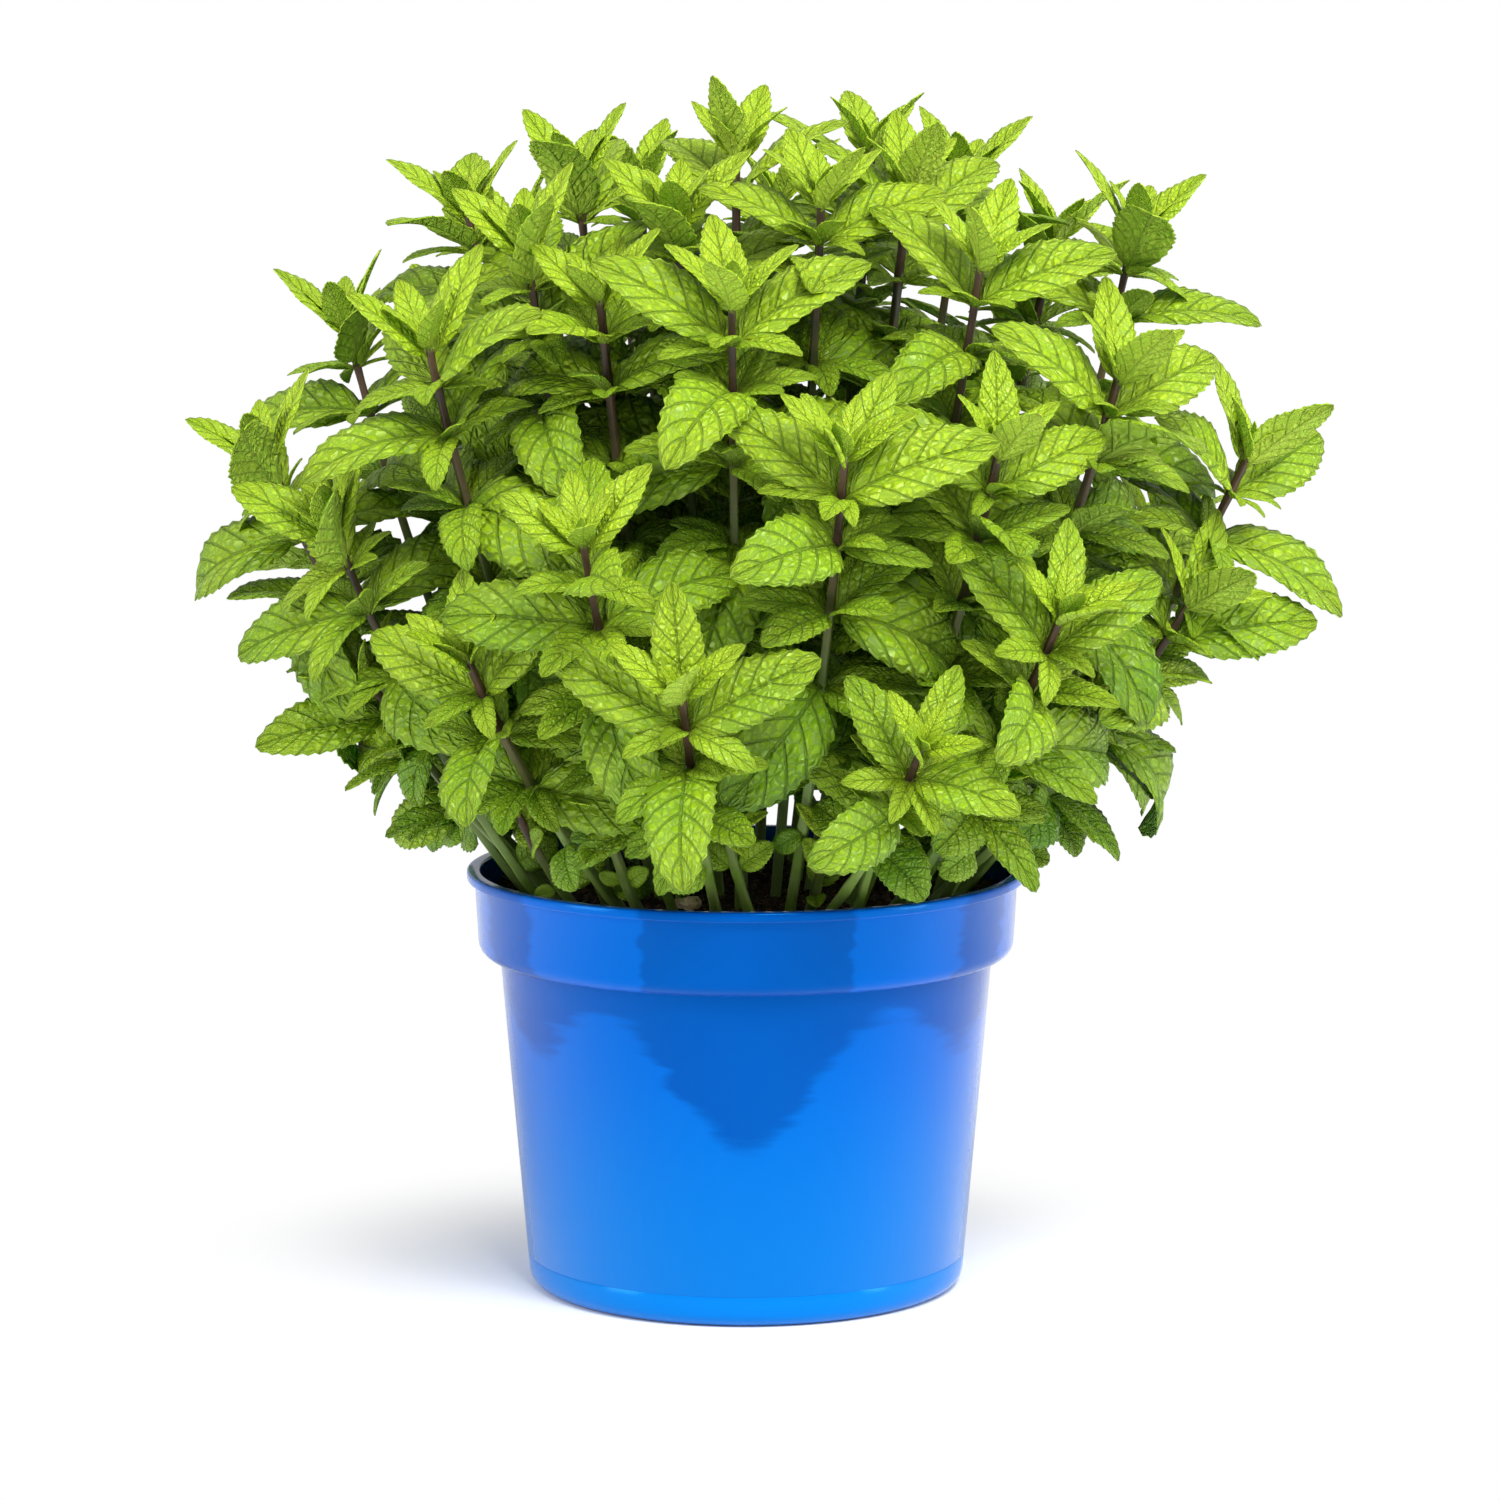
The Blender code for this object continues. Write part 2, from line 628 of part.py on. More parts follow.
def make_shoot(stem, leaves, collection, finish):
    """A shoot: its square stem, the bud at its tip and its leaves, as one closed solid."""
    bm = bmesh.new()
    stretches, cap = square_rod(bm, [corners(s, stem.aside, stem.shoot.turn) for s in stem.stations])
    bmesh.ops.poke(bm, faces=[cap])["verts"][0].co = stem.point
    for pair in range(len(stem.nodes)):
        for side in (0, 1):
            leaf = leaves.get((stem.shoot.name, pair, side))
            if leaf:
                face = stretches[-2 - 2 * pair][(2 * side + pair + 3) % 4]
                leaf_solid(bm, face, leaf)
    add_solid(stem.shoot.name, bm, collection, finish)


def main():
    for obj in list(bpy.data.objects):
        bpy.data.objects.remove(obj)
    collection = collection_named("potted_mint")
    stems = plant_stems()
    leaves = grow_leaves(stems)
    make_pot(collection)
    make_mix(stems, collection)
    make_stone(stems, leaves, collection)
    finish = material("mint_leaf", LEAF_GREEN, 0.5)
    for stem in stems:
        make_shoot(stem, leaves, collection, finish)


main()
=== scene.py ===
"""Potted mint: the finished look of the pot, its potting mix, its stone, and every shoot's leaves and stem.

Everything is in metres and stands in the frame's own place. The shoots are laid out as the frame's are, by
the same rules and the same seed, so every leaf grows where the frame has it.
"""

import math
import random
from collections import namedtuple
from functools import lru_cache

import bmesh
import bpy
from mathutils import Euler, Matrix, Vector, noise
from mathutils.bvhtree import BVHTree


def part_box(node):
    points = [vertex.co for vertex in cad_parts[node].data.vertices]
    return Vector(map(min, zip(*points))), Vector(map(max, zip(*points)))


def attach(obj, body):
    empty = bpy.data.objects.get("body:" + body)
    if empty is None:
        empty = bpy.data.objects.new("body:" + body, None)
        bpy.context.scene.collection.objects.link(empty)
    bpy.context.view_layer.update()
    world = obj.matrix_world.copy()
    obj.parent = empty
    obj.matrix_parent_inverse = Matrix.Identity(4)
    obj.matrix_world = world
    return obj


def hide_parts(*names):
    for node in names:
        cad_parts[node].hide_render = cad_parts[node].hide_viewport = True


bl_info = {
    "name": "Potted Mint",
    "version": (1, 0, 0),
    "blender": (4, 5, 0),
    "location": "3D View > Sidebar > Mint",
    "description": "Finishes a potted mint plant: pot, potting mix, stone, stems, leaves and a plain studio",
    "category": "Add Mesh",
}

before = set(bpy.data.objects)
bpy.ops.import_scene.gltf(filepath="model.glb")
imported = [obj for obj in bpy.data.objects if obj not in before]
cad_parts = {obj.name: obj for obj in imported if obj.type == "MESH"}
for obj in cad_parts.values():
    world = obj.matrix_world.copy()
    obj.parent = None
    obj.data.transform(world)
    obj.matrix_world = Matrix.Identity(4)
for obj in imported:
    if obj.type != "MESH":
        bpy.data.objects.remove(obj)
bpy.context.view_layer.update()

MM = 0.001
GAP = 0.3 * MM
UP = Vector((0, 0, 1))

# Pot: a tapered body with a wider collar and a flared lip
POT_HEIGHT = 128 * MM
WALL = 1.6 * MM
LIP_RADIUS = 85 * MM
LIP_HEIGHT = 3 * MM
COLLAR_TOP_RADIUS = 82.6 * MM
COLLAR_BOTTOM_RADIUS = 81.6 * MM
COLLAR_HEIGHT = 26 * MM
COLLAR_EDGE = 4.5 * MM
BODY_TOP_RADIUS = 75 * MM
BASE_RADIUS = 66.6 * MM
BASE_EDGE = 5 * MM
TURN_STEPS = 44
DRAIN_HOLES = 8
DRAIN_RADIUS = 4.5 * MM
DRAIN_CIRCLE = 46 * MM

# Potting mix
FILL_DEPTH_BELOW_LIP = 9 * MM
MOUND = 3 * MM
STEM_DEPTH = 12 * MM

# Stems
STEM_BASE_RADIUS = 2.2 * MM
STEM_TIP_RADIUS = 1.3 * MM
STEM_SPACING = 9 * MM
STEM_CLEARANCE = 1.2 * MM
ROOT_REACH = 66 * MM
ROOT_STEP = 4 * MM
ROOT_RINGS = 14
STEM_SHOW = 3 * MM
STATION_SPACING = 45 * MM
NODE_HEIGHT = 2.4 * MM
BUD_LENGTH = 4 * MM
BUD_RADIUS = 1.3 * MM

# Leaves, listed from the pair at the tip to the pair nearest the mix
INTERNODES = [d * MM for d in (4, 9, 15, 21, 24, 25, 26)]
LEAF_SHARES = (0.68, 0.96, 1.12, 1.18, 1.1, 0.98, 0.86)
LEAF_LIFTS = (34, 50, 66, 80, 90, 98, 104)
LEAF_DROOPS = (12, 28, 42, 54, 60, 62, 62)
LEAF_HALF_WIDTHS = (0.2, 0.23, 0.26, 0.28, 0.29, 0.29, 0.29)
RING_PLACES = (0.26, 0.64)
RING_WIDTHS = (0.95, 0.84)
LEAF_THICKNESS = 0.9 * MM
LEAF_FOLD = 16
LIGHT_SEEKING = (0.1, 0.35, 0.55, 0.62, 0.62, 0.62, 0.62)
SHADE_CENTRE = Vector((0, 90 * MM, POT_HEIGHT + 62 * MM))
LEAF_MARGIN = 0.7 * MM
NECK = 0.15
LOWEST_LEAF = POT_HEIGHT - 7 * MM
SWINGS = (0, 14, -14, 28, -28)
RAISES = (0, -14, 14, -28)
SHRINKS = (1, 0.84, 0.68, 0.52)
SEED = 11

# How the shoots grow ---------------------------------------------------------------------------------------

Shoot = namedtuple("Shoot", "name tip root_share leaf pairs turn")
Stem = namedtuple("Stem", "shoot stations nodes aside tree point")
Station = namedtuple("Station", "place axis radius")
Leaf = namedtuple("Leaf", "start along face length half_width droop base")

# Every shoot: its tip in millimetres, the length of its longest leaves, the turn of its top pair in degrees.
# The tips are given for a pot of this height, and rise and sink with the pot.
TIPS_POT_HEIGHT = 128 * MM
SHOOT_GROUPS = (
    # name, share of the tip's reach at which the stem leaves the mix, most leaf pairs, shoots
    ("crown_shoot", 0.4, 6, (
        (-3, -12, 345, 38, 70), (38, 14, 346, 38, 20), (-50, -14, 338, 38, 60), (22, -50, 333, 40, 80),
        (-33, 48, 335, 38, 10), (66, 34, 336, 38, 50), (10, 78, 328, 38, 35), (-64, -54, 320, 40, 45),
        (-20, -46, 328, 40, 15), (48, -24, 336, 38, 65), (94, 30, 318, 40, 25), (-72, 46, 318, 38, 85),
    )),
    ("front_shoot", 0.45, 7, (
        (-4, -88, 306, 43, 90), (28, -114, 264, 43, 60), (-18, -126, 198, 43, 92), (-92, -66, 292, 44, 80),
        (-46, -116, 240, 39, 25), (-42, -72, 306, 38, 0), (72, -98, 264, 39, 75), (68, -64, 316, 40, 30),
        (108, -70, 284, 42, 70), (90, -104, 218, 40, 65), (50, -120, 182, 34, 50), (-80, -94, 204, 38, 100),
    )),
    ("side_shoot", 0.5, 7, (
        (-143, -20, 256, 40, 75), (-122, 24, 292, 40, 95), (-84, 10, 328, 38, 80), (116, -8, 322, 40, 85),
        (150, -20, 256, 43, 60), (132, -36, 214, 42, 15), (-121, -56, 238, 42, 70), (-112, -34, 190, 38, 5),
        (130, 36, 232, 40, 40), (-130, 46, 226, 40, 30), (-104, 22, 174, 34, 60), (108, 22, 182, 34, 10),
    )),
    ("back_shoot", 0.45, 6, (
        (-92, 84, 290, 40, 80), (-38, 112, 296, 42, 60), (32, 118, 300, 40, 90), (86, 90, 294, 40, 20),
        (-78, 118, 222, 40, 100), (-8, 138, 236, 42, 85), (62, 130, 228, 42, 70), (116, 84, 220, 38, 10),
    )),
    ("low_sprig", 0.72, 3, (
        (24, -72, 150, 25, 80), (42, -92, 172, 31, 95), (-42, -74, 158, 29, 0), (-68, -44, 152, 27, 75),
        (-84, -24, 156, 27, 20), (92, 4, 156, 27, 60), (74, -64, 166, 30, 30), (-8, -84, 164, 32, 10),
        (-62, 62, 166, 30, 60), (50, 76, 170, 30, 40),
    )),
)


def shoots():
    """Every shoot of the clump, in metres and radians."""
    rise = UP * (POT_HEIGHT - TIPS_POT_HEIGHT)
    return [
        Shoot(f"{name}_{i + 1}", Vector((x, y, z)) * MM + rise, share, leaf * MM, pairs, math.radians(turn))
        for name, share, pairs, rows in SHOOT_GROUPS
        for i, (x, y, z, leaf, turn) in enumerate(rows)
    ]


def fill_level(radius):
    """Height of the potting mix at a distance from the pot's axis: highest in the middle."""
    share = min(radius / COLLAR_BOTTOM_RADIUS, 1)
    return POT_HEIGHT - FILL_DEPTH_BELOW_LIP + MOUND * (1 - share * share)


def across(axis, reference):
    """Axes of a section square to an axis, the first as near to the reference as it can be."""
    first = (reference - axis * reference.dot(axis)).normalized()
    return first, axis.cross(first)


def corners(station, aside, turn, grow=0.0):
    """The four corners of a square stem at a station."""
    first, second = across(station.axis, aside)
    radius = station.radius + grow
    angles = [turn + math.radians(45 + 90 * i) for i in range(4)]
    return [station.place + (first * math.cos(a) + second * math.sin(a)) * radius for a in angles]


def rod_triangles(rings):
    """Triangles for a number of four-cornered rings that end in a point, with each side split both ways."""
    triangles = [(0, 1, 2), (0, 2, 3), (0, 1, 3), (1, 2, 3)]
    for low in range(0, 4 * rings - 4, 4):
        for i in range(4):
            a, b = low + i, low + (i + 1) % 4
            c, d = b + 4, a + 4
            triangles += [(a, b, c), (a, c, d), (a, b, d), (b, c, d)]
    last = 4 * rings - 4
    return triangles + [(last + i, last + (i + 1) % 4, last + 4) for i in range(4)]


def rod_tree(rings, tip):
    """A collision tree for a run of four-cornered rings that ends in a point."""
    points = [point for ring in rings for point in ring]
    return BVHTree.FromPolygons([*points, tip], rod_triangles(len(rings)))


def crosses_itself(rings, tip):
    """Whether a run of rings cuts through itself anywhere but at its own corners."""
    tree = rod_tree(rings, tip)
    triangles = rod_triangles(len(rings))
    return any(not set(triangles[i]) & set(triangles[j]) for i, j in tree.overlap(tree))


def collar_tree():
    """A collision tree for the pot's collar, as a plain ring."""
    inner = COLLAR_BOTTOM_RADIUS - 2 * WALL
    low = POT_HEIGHT - COLLAR_HEIGHT
    section = [(inner, low), (LIP_RADIUS, low), (LIP_RADIUS, POT_HEIGHT), (inner, POT_HEIGHT)]
    turns = [2 * math.pi * i / TURN_STEPS for i in range(TURN_STEPS)]
    points = [(r * math.cos(turn), r * math.sin(turn), z) for turn in turns for r, z in section]
    quads = [
        (4 * i + k, 4 * i + (k + 1) % 4, 4 * j + (k + 1) % 4, 4 * j + k)
        for i, j in zip(range(TURN_STEPS), [*range(1, TURN_STEPS), 0]) for k in range(4)
    ]
    return BVHTree.FromPolygons(points, quads)


def stem_path(root, tip):
    """Points along a stem that leans out from its root and turns up toward its tip."""
    reach = tip - root
    knee = root + Vector((reach.x * 0.62, reach.y * 0.62, reach.z * 0.46))
    steps = 64
    curve = []
    for i in range(steps + 1):
        t = i / steps
        curve.append(root * (1 - t) ** 2 + knee * (2 * t * (1 - t)) + tip * t ** 2)
    return curve


def place_on(curve, distance):
    """Place and direction on a curve at a distance back from its end."""
    for high, low in zip(curve[::-1], curve[-2::-1]):
        step = (high - low).length
        if distance <= step:
            break
        distance -= step
    axis = (high - low).normalized()
    return high - axis * distance, axis


def grow_stem(shoot, root):
    """A shoot's stem from its buried end to its tip, with the places of its leaf pairs."""
    curve = stem_path(root, shoot.tip)
    length = sum((b - a).length for a, b in zip(curve, curve[1:]))
    first_axis = (curve[1] - curve[0]).normalized()
    aside = first_axis.cross(UP).normalized() if first_axis.z < 0.9999 else Vector((1, 0, 0))

    def radius(back):
        share = min(back / length, 1)
        return STEM_TIP_RADIUS + (STEM_BASE_RADIUS - STEM_TIP_RADIUS) * math.sqrt(share)

    nodes = []
    back = 0
    for gap in INTERNODES[:shoot.pairs]:
        back += gap
        if back < length - STEM_SHOW - NODE_HEIGHT:
            nodes.append(back)
    stops = [back + side * NODE_HEIGHT / 2 for back in nodes for side in (-1, 1)]
    bare = length - STEM_SHOW - stops[-1]
    count = int(bare / STATION_SPACING) + 1
    stops += [stops[-1] + bare * (i + 1) / count for i in range(count)]
    stations = [Station(*place_on(curve, back), radius(back)) for back in stops]
    end = root - first_axis * STEM_DEPTH
    stations.append(Station(end, first_axis, STEM_BASE_RADIUS))
    stations.reverse()
    top = stations[-1]
    stations.append(Station(shoot.tip, top.axis, BUD_RADIUS))
    point = shoot.tip + top.axis * BUD_LENGTH
    fat = rod_tree([corners(s, aside, shoot.turn, STEM_CLEARANCE) for s in stations], point)
    thin = rod_tree([corners(s, aside, shoot.turn) for s in stations], point)
    return Stem(shoot, stations, nodes, aside, thin, point), fat


def root_places(shoot):
    """Places in the mix for a stem: where it is wanted, then in growing rings around that."""
    wanted = Vector((shoot.tip.x, shoot.tip.y, 0)) * shoot.root_share
    if wanted.length > ROOT_REACH:
        wanted *= ROOT_REACH / wanted.length
    for ring in range(ROOT_RINGS):
        for i in range(max(1, 6 * ring)):
            turn = shoot.turn + 2 * math.pi * i / max(1, 6 * ring)
            place = wanted + Vector((math.cos(turn), math.sin(turn), 0)) * ring * ROOT_STEP
            if place.length <= ROOT_REACH:
                place.z = fill_level(place.length)
                yield place


def plant_stems():
    """Every stem, rooted as near to its own place as its neighbours let it."""
    stems = []
    roots = []
    collar = collar_tree()
    for shoot in shoots():
        for root in root_places(shoot):
            if any((root - other).length < STEM_SPACING for other in roots):
                continue
            stem, fat = grow_stem(shoot, root)
            if fat.overlap(collar) or any(fat.overlap(other.tree) for other in stems):
                continue
            stems.append(stem)
            roots.append(root)
            break
    return stems


def leaf_ring(leaf, share, width, margin=0.0):
    """Left edge, upper midrib, right edge and lower midrib of a leaf at a share of its length."""
    bend = leaf.droop * share
    reach = leaf.length * math.sin(bend) / leaf.droop
    drop = leaf.length * (1 - math.cos(bend)) / leaf.droop
    middle = leaf.start + leaf.along * reach - leaf.face * drop
    face = leaf.face * math.cos(bend) + leaf.along * math.sin(bend)
    side = leaf.along.cross(leaf.face)
    fold = math.radians(LEAF_FOLD)
    half = leaf.half_width * width + margin
    lift = face * half * math.sin(fold)
    thick = face * (LEAF_THICKNESS / 2 + margin)
    return [
        middle - side * half * math.cos(fold) + lift,
        middle + thick,
        middle + side * half * math.cos(fold) + lift,
        middle - thick,
    ]


def leaf_rings(leaf, margin=0.0):
    rings = [leaf_ring(leaf, place, width, margin) for place, width in zip(RING_PLACES, RING_WIDTHS)]
    tip = leaf_ring(leaf, 1 + margin / leaf.length, 0)
    return rings, (tip[1] + tip[3]) / 2


def stem_face(stem, pair, side):
    """The corners of the stem's own face that a leaf grows from, in the order of a leaf's ring."""
    around = stem.stations[-3 - 2 * pair:][:2]
    low, high = (corners(station, stem.aside, stem.shoot.turn) for station in around)
    right = (2 * side + pair + 3) % 4
    left = (right + 1) % 4
    return [high[left], high[right], low[right], low[left]]


def leaf_tree(leaf):
    """A collision tree for a leaf with its neck."""
    rings, tip = leaf_rings(leaf)
    return rod_tree([leaf.base, *rings], tip)


def clear_of_pot(points):
    """Whether points are all above the mix, the lip or, outside the pot, the lowest place for a leaf."""
    for point in points:
        radius = math.hypot(point.x, point.y)
        if radius < COLLAR_BOTTOM_RADIUS - 3 * WALL:
            floor = fill_level(radius)
        elif radius < LIP_RADIUS + LEAF_MARGIN:
            floor = POT_HEIGHT
        else:
            floor = LOWEST_LEAF
        if point.z < floor + 2 * LEAF_MARGIN:
            return False
    return True


def leaf_outline(leaf):
    """Points around a leaf's edge and halfway between them."""
    rings, tip = leaf_rings(leaf)
    edge = [leaf.start, rings[0][0], rings[1][0], tip, rings[1][2], rings[0][2]]
    halves = [(a + b) / 2 for a, b in zip(edge, edge[1:] + edge[:1])]
    return edge[1:] + halves[1:]


def grow_leaf(stem, pair, side, swing, lift, size, droop, lean):
    """One leaf of a pair, reaching out from its own face of the square stem."""
    shoot = stem.shoot
    station = stem.stations[-3 - 2 * pair]
    first, second = across(station.axis, stem.aside)
    turn = shoot.turn + math.pi * (side + pair / 2)
    out = first * math.cos(turn) + second * math.sin(turn)
    swung = turn + math.radians(swing)
    swung_out = first * math.cos(swung) + second * math.sin(swung)
    angle = math.radians(lift)
    along = (station.axis * math.cos(angle) + swung_out * math.sin(angle)).normalized()
    face = station.axis * math.sin(angle) - swung_out * math.cos(angle)
    light = (station.place - SHADE_CENTRE).normalized()
    seeking = face.lerp(light, LIGHT_SEEKING[pair]) + along.cross(face) * lean
    face = (seeking - along * seeking.dot(along)).normalized()
    length = shoot.leaf * LEAF_SHARES[pair] * size
    start = station.place + station.axis * NODE_HEIGHT / 2 + out * station.radius * math.sqrt(0.5)
    return Leaf(start, along, face, length, length * LEAF_HALF_WIDTHS[pair], math.radians(droop), None)


def rooted(leaf, corners_of_face):
    """The leaf with its neck on the stem's face, turned whichever way doesn't cross itself, or None."""
    rings, tip = leaf_rings(leaf)
    for base in (corners_of_face, corners_of_face[-1:] + corners_of_face[:-1]):
        if not crosses_itself([base, *rings], tip):
            return leaf._replace(base=base)
    return None


def grow_leaves(stems):
    """Every leaf of every shoot, keyed by shoot, pair and side, with those that find no room left off."""
    rng = random.Random(SEED)
    collar = collar_tree()
    placed = []
    leaves = {}
    for pair in range(len(INTERNODES)):
        for stem in stems:
            for side in (0, 1):
                draws = [rng.uniform(-1, 1) for _ in range(5)]
                if pair >= len(stem.nodes):
                    continue
                leaf = find_room(stem, pair, side, draws, stems, placed, collar)
                if leaf:
                    placed.append((leaf, leaf_tree(leaf)))
                    leaves[stem.shoot.name, pair, side] = leaf
    return leaves


def find_room(stem, pair, side, draws, stems, placed, collar):
    """The first pose of a leaf that is clear of everything already there."""
    swing, raised, sized, drooped, leaned = draws
    face = stem_face(stem, pair, side)
    station = stem.stations[-3 - 2 * pair]
    middle = station.place + station.axis * NODE_HEIGHT / 2
    reach = stem.shoot.leaf * 1.3
    near = [tree for leaf, tree in placed if (leaf.start - middle).length < reach + leaf.length]
    for shrink in SHRINKS:
        for shift in SWINGS:
            for rise in RAISES:
                leaf = grow_leaf(
                    stem, pair, side,
                    8 * swing + shift,
                    LEAF_LIFTS[pair] + 8 * raised + rise,
                    (1 + 0.08 * sized) * shrink,
                    LEAF_DROOPS[pair] * (1 + 0.3 * drooped),
                    0.25 * leaned,
                )
                leaf = rooted(leaf, face)
                if not leaf or not clear_of_pot(leaf_outline(leaf)):
                    continue
                rings, tip = leaf_rings(leaf, LEAF_MARGIN)
                whole = rod_tree([leaf.base, *rings], tip)
                if whole.overlap(collar) or any(whole.overlap(tree) for tree in near):
                    continue
                if any(whole.overlap(other.tree) for other in stems if other is not stem):
                    continue
                rings, tip = leaf_rings(leaf)
                neck = [corner + (leaf.start - middle) * NECK for corner in leaf.base]
                if rod_tree([neck, *rings], tip).overlap(stem.tree):
                    continue
                return leaf
    return None


@lru_cache(maxsize=None)
def clump():
    """The stems and leaves of the whole clump, checked against the frame's own shoots."""
    stems = plant_stems()
    leaves = grow_leaves(stems)
    for stem in stems:
        low, high = (Vector(corner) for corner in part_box(stem.shoot.name))
        for place in (stem.stations[0].place, stem.point):
            if any(place[i] < low[i] - STEM_CLEARANCE or place[i] > high[i] + STEM_CLEARANCE for i in range(3)):
                raise RuntimeError(f"{stem.shoot.name} doesn't grow where the frame has it")
    return stems, leaves



# Node helpers ----------------------------------------------------------------------------------------------

class Tree:
    """A short way to write node trees: each call adds one node and returns its first live output."""

    def __init__(self, tree):
        self.tree = tree

    def node(self, kind, values=(), **settings):
        made = self.tree.nodes.new(kind)
        for key, value in settings.items():
            setattr(made, key, value)
        live = {socket.name: socket for socket in reversed(made.inputs) if socket.enabled}
        for name, value in dict(values).items():
            socket = live[name] if isinstance(name, str) else made.inputs[name]
            self.feed(value, socket)
        return made

    def feed(self, value, socket):
        if isinstance(value, bpy.types.NodeSocket):
            self.tree.links.new(value, socket)
        else:
            socket.default_value = value

    def out(self, kind, values=(), output=None, **settings):
        made = self.node(kind, values, **settings)
        if output:
            return next(socket for socket in made.outputs if socket.enabled and socket.name == output)
        return next(socket for socket in made.outputs if socket.enabled)

    def math(self, operation, *numbers, clamp=False):
        values = dict(enumerate(numbers))
        return self.out("ShaderNodeMath", values, operation=operation, use_clamp=clamp)

    def vector(self, operation, *vectors, output=None, **values):
        inputs = dict(enumerate(vectors))
        inputs.update({name.title(): value for name, value in values.items()})
        return self.out("ShaderNodeVectorMath", inputs, output, operation=operation)

    def along(self, base, direction, distance):
        """A point moved from a base by a distance in a direction."""
        return self.vector("ADD", base, self.vector("SCALE", direction, scale=distance))

    def smooth(self, value, low, high, to_low=0.0, to_high=1.0):
        values = {"Value": value, "From Min": low, "From Max": high, "To Min": to_low, "To Max": to_high}
        return self.out("ShaderNodeMapRange", values, interpolation_type="SMOOTHSTEP")

    def blend(self, factor, one, other, how="MIX"):
        """Two colours mixed by a factor."""
        made = self.node("ShaderNodeMix", data_type="RGBA", blend_type=how)
        self.feed(factor, made.inputs[0])
        self.feed(one, made.inputs[6])
        self.feed(other, made.inputs[7])
        return made.outputs[2]

    def attribute(self, name, kind="FLOAT"):
        """A named attribute, inside a geometry tree."""
        return self.out("GeometryNodeInputNamedAttribute", {"Name": name}, data_type=kind)


def geometry_tree(name, sockets):
    """A new geometry tree with a geometry input and output and the named inputs."""
    tree = bpy.data.node_groups.new(name, "GeometryNodeTree")
    tree.interface.new_socket("Geometry", in_out="INPUT", socket_type="NodeSocketGeometry")
    for label, kind, default in sockets:
        made = tree.interface.new_socket(label, in_out="INPUT", socket_type=f"NodeSocket{kind}")
        if default is not None:
            made.default_value = default
    tree.interface.new_socket("Geometry", in_out="OUTPUT", socket_type="NodeSocketGeometry")
    source = tree.nodes.new("NodeGroupInput")
    return Tree(tree), {socket.name: socket for socket in source.outputs if socket.name}


def finish_tree(nodes, geometry, smooth, material):
    """End a geometry tree: realise the copies, shade them and give them their material."""
    geometry = nodes.out("GeometryNodeRealizeInstances", {"Geometry": geometry})
    geometry = nodes.out("GeometryNodeSetShadeSmooth", {"Geometry": geometry, "Shade Smooth": smooth})
    geometry = nodes.out("GeometryNodeSetMaterial", {"Geometry": geometry, "Material": material})
    end = nodes.tree.nodes.new("NodeGroupOutput")
    nodes.tree.links.new(geometry, end.inputs["Geometry"])


def grown(obj, tree, values):
    """Run a geometry tree on an object and keep its result as a plain mesh."""
    modifier = obj.modifiers.new(tree.name, "NODES")
    modifier.node_group = tree
    for item in tree.interface.items_tree:
        if item.in_out == "INPUT" and item.name in values:
            modifier[item.identifier] = values[item.name]
    return applied(obj)


def applied(obj):
    """Replace an object's mesh by what its modifiers make of it, and remove them."""
    bpy.context.view_layer.update()
    graph = bpy.context.evaluated_depsgraph_get()
    mesh = bpy.data.meshes.new_from_object(obj.evaluated_get(graph))
    mesh.name = obj.name
    old = obj.data
    obj.modifiers.clear()
    obj.data = mesh
    bpy.data.meshes.remove(old)
    return obj


def new_object(name, mesh, *materials):
    obj = bpy.data.objects.new(name, mesh)
    bpy.context.scene.collection.objects.link(obj)
    for material in materials:
        mesh.materials.append(material)
    return obj


def points_mesh(name, places, edges=(), **attributes):
    """A mesh of points that carry attributes, for a geometry tree to grow on."""
    mesh = bpy.data.meshes.new(name)
    mesh.from_pydata(places, edges, [])
    for label, values in attributes.items():
        is_vector = isinstance(values[0], Vector)
        layer = mesh.attributes.new(label, "FLOAT_VECTOR" if is_vector else "FLOAT", "POINT")
        flat = [number for value in values for number in value] if is_vector else values
        layer.data.foreach_set("vector" if is_vector else "value", flat)
    return mesh


def joins(piece, node):
    """The piece stands for a node of the frame: it hangs under the root body, and the frame's own node is hidden."""
    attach(piece, "root")
    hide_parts(node)


# Materials -------------------------------------------------------------------------------------------------

def new_material(name):
    """A material with its shader, and the helper that adds to its tree."""
    material = bpy.data.materials.new(name)
    material.use_nodes = True
    nodes = Tree(material.node_tree)
    return material, nodes, material.node_tree.nodes["Principled BSDF"]


def shader_group(name, inputs, outputs):
    """A shader group with named number inputs and named outputs."""
    tree = bpy.data.node_groups.new(name, "ShaderNodeTree")
    for label, kind, default in inputs:
        made = tree.interface.new_socket(label, in_out="INPUT", socket_type=f"NodeSocket{kind}")
        if kind == "Float":
            made.default_value = default
    for label, kind in outputs:
        tree.interface.new_socket(label, in_out="OUTPUT", socket_type=f"NodeSocket{kind}")
    source = tree.nodes.new("NodeGroupInput")
    end = tree.nodes.new("NodeGroupOutput")
    return Tree(tree), source.outputs, end.inputs


@lru_cache(maxsize=None)
def grain_group():
    """Fine and coarse unevenness on a surface: a height for bumps and a mask for colour."""
    inputs = (("Vector", "Vector", None), ("Coarse", "Float", 60), ("Fine", "Float", 400))
    nodes, given, end = shader_group("uneven_surface", inputs, (("Height", "Float"), ("Mask", "Float")))
    place = given["Vector"]
    coarse = nodes.out("ShaderNodeTexNoise", {"Vector": place, "Scale": given["Coarse"], "Detail": 4})
    fine = nodes.out("ShaderNodeTexNoise", {"Vector": place, "Scale": given["Fine"], "Detail": 3})
    height = nodes.math("MULTIPLY_ADD", fine, 0.35, coarse)
    nodes.feed(height, end["Height"])
    nodes.feed(nodes.smooth(coarse, 0.35, 0.65), end["Mask"])
    return nodes.tree


